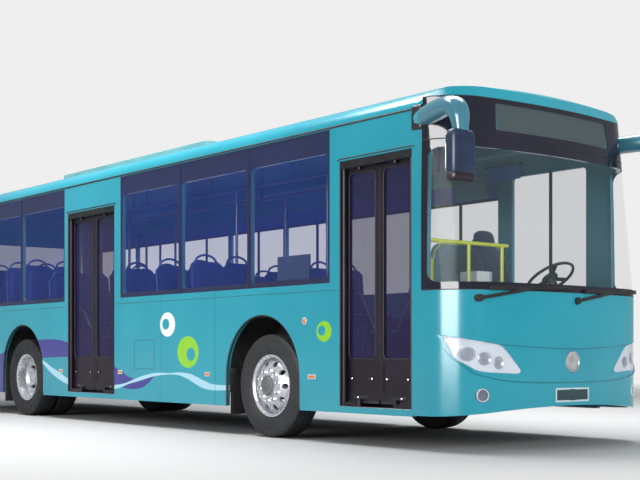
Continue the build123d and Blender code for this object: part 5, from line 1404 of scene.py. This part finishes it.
# ---- Tail ----
# Upright lamp clusters with red, amber and clear chambers behind one ribbed lens, a gloss
# border on the rear glass, a blank plate, round reflectors, high lamps and the lid's locks.
tail_colour, place = begin_material("tail_chambers")
height = add_node(tail_colour, "ShaderNodeSeparateXYZ", {0: place}).outputs["Z"]
amber = calculate(tail_colour, "COMPARE", height, 1.235, 0.055)
clear = calculate(tail_colour, "COMPARE", height, 0.985, 0.050)
# The red chambers swing between darker and lighter red in stripes 9 mm apart: painted shade and highlight
# of the lens ribs.
ribs = calculate(tail_colour, "SINE", calculate(tail_colour, "MULTIPLY", height, 700.0))
painted_rib_shading = calculate(tail_colour, "MULTIPLY_ADD", ribs, 0.25, 0.5)
shade = blend_colour(tail_colour, painted_rib_shading, (0.42, 0.006, 0.008, 1), (0.62, 0.020, 0.020, 1))
shade = blend_colour(tail_colour, amber, shade, (0.75, 0.22, 0.010, 1))
shade = blend_colour(tail_colour, clear, shade, (0.68, 0.70, 0.72, 1))
end_material(tail_colour, place, shade, 0.12, bump=0.06, bump_scale=240.0, Coat_Weight=0.8)
cover(tail_colour, "tail_lamps")
tail_x = -5.508


def tail_lift(across, up, layer):
    """Lift for a flat frame on the rear wall, 6 mm thick."""
    return np.stack([tail_x + 0.006 * layer + 0 * across, across, up], 1)


tail_lamp_y, tail_lamp_z = 1.070, (0.900, 1.400)
lamp_frames = []
for side in (-1, 1):
    loops = []
    for half, over in ((0.068, 0.008), (0.0575, -0.0025)):
        across = (side * tail_lamp_y - half, side * tail_lamp_y + half)
        loops.append(rounded_loop(across, (tail_lamp_z[0] - over, tail_lamp_z[1] + over), 0.012))
    lamp_frames.append(border_plate(*loops, tail_lift))
make_piece("tail_lamp_frames", gather(lamp_frames), black_rubber)
rear_border = [
    # across, up, corner radius
    ((-0.945, 0.945), (1.645, 2.555), 0.002),
    ((-0.890, 0.890), (1.710, 2.490), 0.060),
]
loops = [rounded_loop(*limits) for limits in rear_border]
make_piece("rear_glass_border", border_plate(*loops, tail_lift), gloss_ceramic)
rear_plate_z, rear_plate_inset = (0.432, 0.552), 0.014
plate = slab((-5.5105, -5.5065), (-front_plate_half, front_plate_half), rear_plate_z)
bevelled(make_piece("rear_plate", plate, plate_white), 0.0015)
half = front_plate_half - rear_plate_inset
face_z = (rear_plate_z[0] + rear_plate_inset, rear_plate_z[1] - rear_plate_inset)
plate = slab((-5.5118, -5.5100), (-half, half), face_z)
bevelled(make_piece("rear_plate_face", plate, plate_dark), 0.0006)
reflector_red = plain_finish(
    "reflector_red", (0.45, 0.008, 0.008), (0.60, 0.020, 0.020), (0.10, 0.18), grain=30.0, bump=0.3,
    bump_scale=500.0,
)
reflector_profile = [(0.038, -0.002), (0.038, 0.004), (0.034, 0.0075), (0.012, 0.009)]
lock_profile = [(0.020, -0.002), (0.020, 0.006), (0.014, 0.009), (0.006, 0.010)]
reflector_y, reflector_z = 1.02, 0.55
lock_y, lock_z = 0.72, 1.36
high_lamp_y, high_lamp_z = (0.30, 0.50), (2.62, 2.665)
rounds, locks, high_lamps = [], [], []
for side in (-1, 1):
    rounds.append(turned(reflector_profile, 32, (-5.507, side * reflector_y, reflector_z), (-1, 0, 0)))
    locks.append(turned(lock_profile, 24, (-5.5072, side * lock_y, lock_z), (-1, 0, 0)))
    high_lamps.append(slab((-5.5085, -5.5060), sorted(side * y for y in high_lamp_y), high_lamp_z))
make_piece("rear_reflectors", gather(rounds), reflector_red)
make_piece("lid_locks", gather(locks), bright_steel, "engine_lid")
bevelled(make_piece("rear_high_lamps", gather(high_lamps), reflector_red), 0.001)

# ---- Saloon floor, seats and rails ----
# Speckled blue vinyl over plywood, moulded blue polypropylene seats on steel legs, and
# powder-coated rails. Each seat back gets a dished shell and an arched grab handle.
vinyl, place = begin_material("floor_vinyl")
speck = add_node(vinyl, "ShaderNodeTexVoronoi", {"Vector": place, "Scale": 260.0})
spots = add_node(
    vinyl, "ShaderNodeMapRange", {"Value": speck.outputs["Distance"], 1: 0.12, 2: 0.2, 3: 1.0, 4: 0.0},
).outputs[0]
shade = blend_colour(vinyl, spots, (0.030, 0.042, 0.070, 1), (0.16, 0.19, 0.23, 1))
end_material(vinyl, place, shade, 0.5, bump=0.15, bump_scale=400.0)
seat_plastic = plain_finish(
    "seat_plastic", (0.018, 0.028, 0.150), (0.028, 0.042, 0.210), (0.28, 0.42), grain=3.0, bump=0.15,
    bump_scale=380.0, Specular_IOR_Level=0.6,
)
handle_blue = plain_finish(
    "handle_blue", (0.035, 0.070, 0.260), (0.055, 0.100, 0.340), (0.22, 0.34), grain=6.0, bump=0.04,
    bump_scale=500.0,
)
rail_yellow = plain_finish(
    "rail_yellow", (0.50, 0.60, 0.030), (0.62, 0.70, 0.060), (0.25, 0.38), grain=9.0, bump=0.06,
    bump_scale=500.0, Coat_Weight=0.3,
)

# Only the rail at the entry is yellow; those along the saloon are powder-coated slate blue.
rail_coat, place = begin_material("rail_coat")
entry_from_x = 4.4
along = add_node(rail_coat, "ShaderNodeSeparateXYZ", {0: place}).outputs["X"]
at_entry = calculate(rail_coat, "GREATER_THAN", along, entry_from_x)
shade = blend_colour(
    rail_coat, mottle(rail_coat, place, 9.0, 0.0, 1.0), (0.030, 0.045, 0.095, 1),
    (0.045, 0.065, 0.130, 1),
)
shade = blend_colour(rail_coat, at_entry, shade, (0.56, 0.66, 0.045, 1))
end_material(rail_coat, place, shade, 0.32, bump=0.06, bump_scale=500.0, Coat_Weight=0.3)
cover(vinyl, "floor_deck")
cover(seat_plastic, "passenger_seats")
cover(rail_coat, "handrails")
low_floor, tail_floor, box_top = 0.800, 1.050, 1.185
seat_out_y, seat_pair_half = 0.788, 0.204
seat_rows = [
    # x, side, height of what it stands on
    (1.500, 1, low_floor),
    (0.6875, 1, low_floor),
    (-0.125, 1, low_floor),
    (-0.9375, 1, low_floor),
    (-1.750, 1, low_floor),
    (1.500, -1, low_floor),
    (0.790, -1, low_floor),
    (0.080, -1, low_floor),
    (-1.790, -1, low_floor),
]
for side in (1, -1):
    seat_rows += [(-2.500, side, box_top), (-3.050, side, box_top), (-3.750, side, low_floor)]
    seat_rows += [(-4.550, side, tail_floor), (-5.177, side, tail_floor)]
seat_spots = []
for row_x, side, deck_z in seat_rows:
    pan_z = deck_z + (0.230 if deck_z == box_top else 0.430)
    for inward in (-seat_pair_half, seat_pair_half):
        seat_spots.append((row_x, side * seat_out_y + inward, pan_z))
seat_spots.append((-5.177, 0.0, 1.480))
half_arch = [(0.150, 0.42), (0.146, 0.50), (0.120, 0.585), (0.060, 0.622)]
arch = smooth_line([(-y, z) for y, z in half_arch] + [(0.0, 0.632)] + half_arch[::-1], 33)
across, up = np.meshgrid(np.linspace(-1, 1, 15), np.linspace(-1, 1, 15), indexing="ij")
rolled_edge = 0.016 * (1 - np.abs(across) ** 6) * (1 - np.abs(up) ** 6)
dish = rolled_edge - 0.010 * np.exp(-2.2 * (across**2 + up**2))
back_height = 0.300 + 0.215 * up
back_across = across * (0.165 - 0.012 * up)
back_lean = 0.105 * back_height
handles, pads = [], []
for seat_x, seat_y, pan_z in seat_spots:
    handle = np.stack([seat_x - 0.117 - 0.07 * arch[:, 1], seat_y + arch[:, 0], pan_z + arch[:, 1]], 1)
    handles.append(carried(handle, round_section(0.0125, 10), upright=(1, 0, 0)))
    front = np.stack([seat_x - 0.058 - back_lean + dish, seat_y + back_across, pan_z + back_height], -1)
    rear = np.stack([seat_x - 0.066 - back_lean, seat_y + back_across, pan_z + back_height], -1)
    pads.append(closed_sheet(front, rear))
make_piece("seat_handles", gather(handles), handle_blue, smooth_below=60)
make_piece("seat_back_shells", gather(pads), seat_plastic, smooth_below=60)

# ---- Driver's place ----
# A sprung seat trimmed in dark blue cloth over foam, with a rounded back, bolsters and a
# headrest in one; the dashboard is grained plastic with a hooded cluster, vents and switches.
cloth, place = begin_material("driver_cloth")
weave = add_node(
    cloth, "ShaderNodeTexWave", {"Vector": place, "Scale": 90.0, "Distortion": 1.5}, wave_type="BANDS",
)
shade = blend_colour(cloth, weave.outputs["Fac"], (0.010, 0.018, 0.055, 1), (0.020, 0.034, 0.090, 1))
end_material(cloth, place, shade, 0.85, bump=0.5, bump_scale=900.0, Sheen_Weight=0.4)
dash_plastic = plain_finish(
    "dash_plastic", (0.014, 0.017, 0.024), (0.026, 0.031, 0.042), (0.42, 0.60), grain=6.0, bump=0.4,
    bump_scale=700.0,
)
dash_dark = plain_finish(
    "dash_dark", (0.006, 0.006, 0.008), (0.012, 0.012, 0.015), (0.15, 0.30), grain=10.0, bump=0.05,
    bump_scale=400.0,
)
screen_panel = plain_finish(
    "screen_panel", (0.10, 0.20, 0.24), (0.14, 0.25, 0.30), (0.30, 0.45), grain=3.0, bump=0.1,
    bump_scale=400.0,
)
fare_white = plain_finish(
    "fare_white", (0.62, 0.70, 0.72), (0.72, 0.79, 0.81), (0.25, 0.40), grain=4.0, bump=0.08,
    bump_scale=300.0,
)
cover(dash_plastic, "dashboard")
cover(screen_panel, "driver_screen")
cover(fare_white, "fare_box")
cover(dash_dark, "steering_wheel")
driver_x, driver_y, cushion_z = 4.065, 0.600, 1.200


def pillow(place, run, wide, tall, grid=28, power=3.0, crown=0.0):
    """A closed padded form: run, wide and tall are its three half-axes as vectors from place.

    A ball's grid of two angles goes to the superellipsoid of that power, each sine and cosine
    raised to 2 / power; crown lifts the middle of both faces across tall."""
    angle = np.linspace(0, 2 * np.pi, 2 * grid, endpoint=False)[None, :]
    dip = np.linspace(-np.pi / 2, np.pi / 2, grid + 1)[1:-1, None]
    waves = [np.cos(dip), np.sin(dip) + 0 * angle, np.cos(angle), np.sin(angle)]
    level, third, ahead, aside = (np.sign(wave) * np.abs(wave) ** (2 / power) for wave in waves)
    first, second = level * ahead, level * aside
    third = third + crown * np.sign(third) * np.exp(-2.5 * (first**2 + second**2))
    body = np.stack([first, second, third], -1) @ np.array([run, wide, tall])
    pole = (1 + crown) * np.array(tall)
    points = np.concatenate([body.reshape(-1, 3), [-pole, pole]]) + place
    rows, count = grid - 1, 2 * grid
    faces = quads(rows, count, False, True).tolist()
    faces += [[rows * count, (index + 1) % count, index] for index in range(count)]
    faces += [
        [rows * count + 1, (rows - 1) * count + index, (rows - 1) * count + (index + 1) % count]
        for index in range(count)
    ]
    return points, faces


seat_run, seat_up = (0.250, 0, 0.012), (-0.004, 0, 0.062)
bolster_run, bolster_up = (0.235, 0, 0.012), (-0.002, 0, 0.055)
lean_back = np.array((-0.125, 0.0, 0.400))
cushion_forms = [
    pillow((driver_x + 0.205, driver_y, cushion_z + 0.070), seat_run, (0, 0.205, 0), seat_up, crown=0.06)
]
back_forms = [
    pillow(
        (driver_x - 0.105, driver_y, cushion_z + 0.415), 0.92 * lean_back, (0, 0.190, 0),
        (0.058, 0, 0.018), power=2.7, crown=0.08,
    ),
    pillow(
        (driver_x - 0.178, driver_y, cushion_z + 0.730), (-0.022, 0, 0.090), (0, 0.130, 0),
        (0.046, 0, 0.014), grid=18,
    ),
]
for side in (1, -1):
    edge = (driver_x + 0.200, driver_y + side * 0.205, cushion_z + 0.085)
    cushion_forms.append(pillow(edge, bolster_run, (0, 0.042, 0), bolster_up, grid=16))
    edge = (driver_x - 0.080, driver_y + side * 0.185, cushion_z + 0.350)
    back_forms.append(pillow(edge, 0.70 * lean_back, (0, 0.045, 0), (0.064, 0, 0.020), grid=16))
cushion = make_piece("driver_cushion", gather(cushion_forms), cloth, smooth_below=80)
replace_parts(cushion, "driver_seat")
back = make_piece("driver_back", gather(back_forms), cloth, smooth_below=80)
# The seat stands on a plinth, seven folds of a rubber bellows and a top plate.
plinth = slab((driver_x + 0.045, driver_x + 0.375), (driver_y - 0.145, driver_y + 0.145), (0.802, 0.870))
top_plate = slab(
    (driver_x - 0.010, driver_x + 0.430), (driver_y - 0.190, driver_y + 0.190), (1.148, 1.166),
)
pedestal = [plinth, top_plate]
for fold in range(7):
    half = 0.150 - 0.012 * (fold % 2)
    x, y = (
        (driver_x + 0.210 - half, driver_x + 0.210 + half),
        (driver_y + 0.020 - half, driver_y - 0.020 + half),
    )
    pedestal.append(slab(x, y, (0.868 + fold * 0.040, 0.909 + fold * 0.040)))
bevelled(make_piece("driver_pedestal", gather(pedestal), black_rubber), 0.006)


def prism(profile, y):
    """A closed outline of (x, z) points drawn out between two distances along Y."""
    profile = np.asarray(profile, float)
    count = len(profile)
    points = np.concatenate(
        [np.stack([profile[:, 0], np.full(count, end), profile[:, 1]], 1) for end in y]
    )
    return points, quads(2, count, False, True).tolist() + [
        list(range(count)), list(range(2 * count - 1, count - 1, -1)),
    ]


hood = smooth_line([(4.745, 1.286), (4.775, 1.338), (4.850, 1.366), (4.950, 1.352), (5.040, 1.290)], 21)
bevelled(
    make_piece(
        "dash_hood", prism(hood, (driver_y - 0.230, driver_y + 0.230)), dash_plastic,
        smooth_below=50,
    ),
    0.010, 3,
)
dial_profile = [(0.048, -0.004), (0.048, 0.004), (0.043, 0.006), (0.041, 0.001), (0.004, 0.0012)]
dial_x, dial_z, dial_facing = 4.758, 1.312, (-0.87, 0, 0.49)
dials = [
    turned(dial_profile, 32, (dial_x, driver_y + offset, dial_z), dial_facing)
    for offset in (-0.120, 0.0, 0.120)
]
make_piece("dash_dials", gather(dials), lamp_chrome)
switches, vents = [], []
for switch_y in -0.52 + 0.052 * np.arange(8):
    switches.append(slab((4.742, 4.775), (switch_y - 0.019, switch_y + 0.019), (1.256, 1.279)))
for vent_y in (-0.30, 0.12, 0.98):
    for blade_x in 5.180 + 0.014 * np.arange(5):
        vents.append(slab((blade_x, blade_x + 0.006), (vent_y - 0.11, vent_y + 0.11), (1.290, 1.3035)))
bevelled(make_piece("dash_switches", gather(switches), dash_dark), 0.003)
bevelled(make_piece("dash_vents", gather(vents), dash_dark), 0.001, 1)
boss_profile = [(0.078, -0.004), (0.080, 0.012), (0.070, 0.022), (0.040, 0.027), (0.006, 0.028)]
boss_x, boss_z, column_axis = 4.720, 1.510, (-0.5736, 0, 0.8192)
boss = turned(boss_profile, 40, (boss_x, driver_y, boss_z), column_axis)
make_piece("wheel_boss", boss, dash_plastic, "steering_wheel", smooth_below=60)

# The fare box has a slot for coins, a reader on its side and two bright bands round it.
coin_slot = slab((4.560, 4.680), (-0.345, -0.235), (1.5395, 1.5435))
reader = slab((4.4755, 4.4805), (-0.36, -0.22), (1.05, 1.25))
bevelled(make_piece("fare_slots", gather([coin_slot, reader]), dash_dark), 0.001)
fare_x, fare_y = (4.4785, 4.7615), (-0.4215, -0.1585)
fare_bands = [slab(fare_x, fare_y, (z - 0.006, z + 0.006)) for z in (1.335, 0.860)]
bevelled(make_piece("fare_bands", gather(fare_bands), bright_steel), 0.001)

# A bent tube guards the edge of the driver's screen; a cloth blind hangs over the side window.
rail_x = 3.575
bend = [(0.186, 0.81), (0.186, 1.72), (0.215, 1.83), (0.30, 1.905), (0.45, 1.912), (1.185, 1.912)]
screen_rail = carried([(rail_x, y, z) for y, z in bend], round_section(0.017, 12), upright=(1, 0, 0))
make_piece("screen_rail", screen_rail, rail_yellow, smooth_below=60)
blind_blue = plain_finish(
    "blind_blue", (0.020, 0.110, 0.380), (0.030, 0.140, 0.450), (0.45, 0.6), grain=5.0, bump=0.1,
    bump_scale=200.0,
)
blind = slab((3.41, 3.85), (1.150, 1.186), (2.600, 2.745))
bevelled(make_piece("sun_blinds", blind, blind_blue), 0.003)
roller = carried([(3.39, 1.165, 2.750), (3.87, 1.165, 2.750)], round_section(0.014, 14))
make_piece("blind_rollers", roller, dash_dark, smooth_below=60)
duct_grey = plain_finish(
    "duct_grey", (0.055, 0.150, 0.200), (0.070, 0.185, 0.240), (0.4, 0.55), grain=3.0, bump=0.1,
    bump_scale=300.0,
)
bevelled(
    make_piece(
        "route_board", slab((2.93, 3.39), (1.166, 1.186), (2.445, 2.700)), duct_grey,
    ),
    0.006,
)

# ---- Side lamps, blank side sign, flaps and panel seams ----
# Orange moulded markers in pale bezels, a smoked blank sign board behind the fore pane, lockable
# flaps over the fuel filler and battery tray, and thin rubber-filled seams between skirt panels.
amber_lens = plain_finish(
    "amber_lens", (0.72, 0.16, 0.010), (0.85, 0.24, 0.020), (0.10, 0.20), grain=25.0, bump=0.3,
    bump_scale=600.0, Coat_Weight=0.5,
)
marker_bezel = [
    (0.034, -0.002), (0.034, 0.004), (0.030, 0.0065), (0.026, 0.0065), (0.025, 0.002), (0.004, 0.002),
]
marker_lens = [(0.0245, 0.0015), (0.0245, 0.006), (0.020, 0.0095), (0.010, 0.0115), (0.002, 0.012)]
fore_lamp_x, door_lamp_x = 3.469, -0.020
lamp_xs = (fore_lamp_x, 1.760, door_lamp_x, -1.480, -3.420, -4.700)
lens_levels = [(0.0, 0.0, 0.005), (0.0045, 0.0, 0.005), (0.0070, 0.003, 0.003)]
lenses, bezels = [], []
for side in (-1, 1):
    seat = (3.363, side * skin_y, 1.111)
    bezels.append(turned(marker_bezel, 32, seat, (0, side, 0)))
    lenses.append(turned(marker_lens, 32, seat, (0, side, 0)))
    for lamp_x in lamp_xs:
        if side == 1 and lamp_x == door_lamp_x:
            continue
        wide = 0.057 if lamp_x == fore_lamp_x else 0.045
        outer = rounded_loop((lamp_x - wide, lamp_x + wide), (0.575, 0.619), 0.008)
        inner = rounded_loop((lamp_x - wide + 0.009, lamp_x + wide - 0.009), (0.584, 0.610), 0.005)
        bezels.append(border_plate(outer, inner, on_side(side, skin_y + 0.0045, skin_y - 0.0005)))
        points, faces = stacked(
            lens_levels, (lamp_x - wide + 0.008, lamp_x + wide - 0.008), (0.583, 0.611),
        )
        lenses.append(
            (np.stack([points[:, 0], side * (skin_y - 0.0005 + points[:, 2]), points[:, 1]], 1), faces)
        )
make_piece("side_lamp_bezels", gather(bezels), plate_white)
make_piece("side_lamps", gather(lenses), amber_lens, smooth_below=50)

# The sign board hangs inside the fore pane on the kerb side, its face an unlit dot panel.
board = slab((2.925, 3.400), (-1.2330, -1.2050), (1.500, 1.730))
bevelled(make_piece("side_sign", board, sign_board), 0.004)

flaps = [
    # side, low x, high x, low z, high z
    (-1, 0.30, 0.72, 0.640, 0.960),
    (1, 0.86, 1.62, 0.420, 0.820),
    (1, -1.30, -0.55, 0.420, 0.820),
    (1, -3.98, -3.52, 0.500, 0.900),
]
lock_profile = [(0.014, -0.002), (0.014, 0.003), (0.011, 0.0045), (0.003, 0.005)]
seams, locks = [], []
for side, low_x, high_x, low_z, high_z in flaps:
    loop = on_wall(rounded_loop((low_x, high_x), (low_z, high_z), 0.030), side * (skin_y - 0.0006))
    seams.append(carried(loop, round_section(0.0022, 6), closed=True, upright=(0, 1, 0)))
    locks.append(
        turned(lock_profile, 24, (high_x - 0.06, side * skin_y, (low_z + high_z) / 2), (0, side, 0))
    )

# Upright seams part the skirt panels; a waist seam runs between the tail, the doors and the cab.
seam_low, waist_z = 0.30, 1.380
upright_seams = {
    -1: (1.900, 0.860, -3.300, -4.300), 1: (3.560, 1.900, 0.300, -0.300, -1.700, -3.300, -4.300),
}
waist_seams = {-1: ((-5.26, -1.30), (-0.15, 3.86)), 1: ((-5.26, 3.66),)}
for side in (-1, 1):
    seam_y = side * (skin_y - 0.0003)
    for seam_x in upright_seams[side]:
        ends = [(seam_x, seam_y, seam_low), (seam_x, seam_y, 1.438)]
        seams.append(carried(ends, round_section(0.0016, 6), upright=(0, 1, 0)))
    for low_x, high_x in waist_seams[side]:
        ends = [(low_x, seam_y, waist_z), (high_x, seam_y, waist_z)]
        seams.append(carried(ends, round_section(0.0018, 6), upright=(0, 1, 0)))
make_piece("panel_seams", gather(seams), black_rubber, smooth_below=60)
make_piece("flap_locks", gather(locks), bright_steel, smooth_below=50)
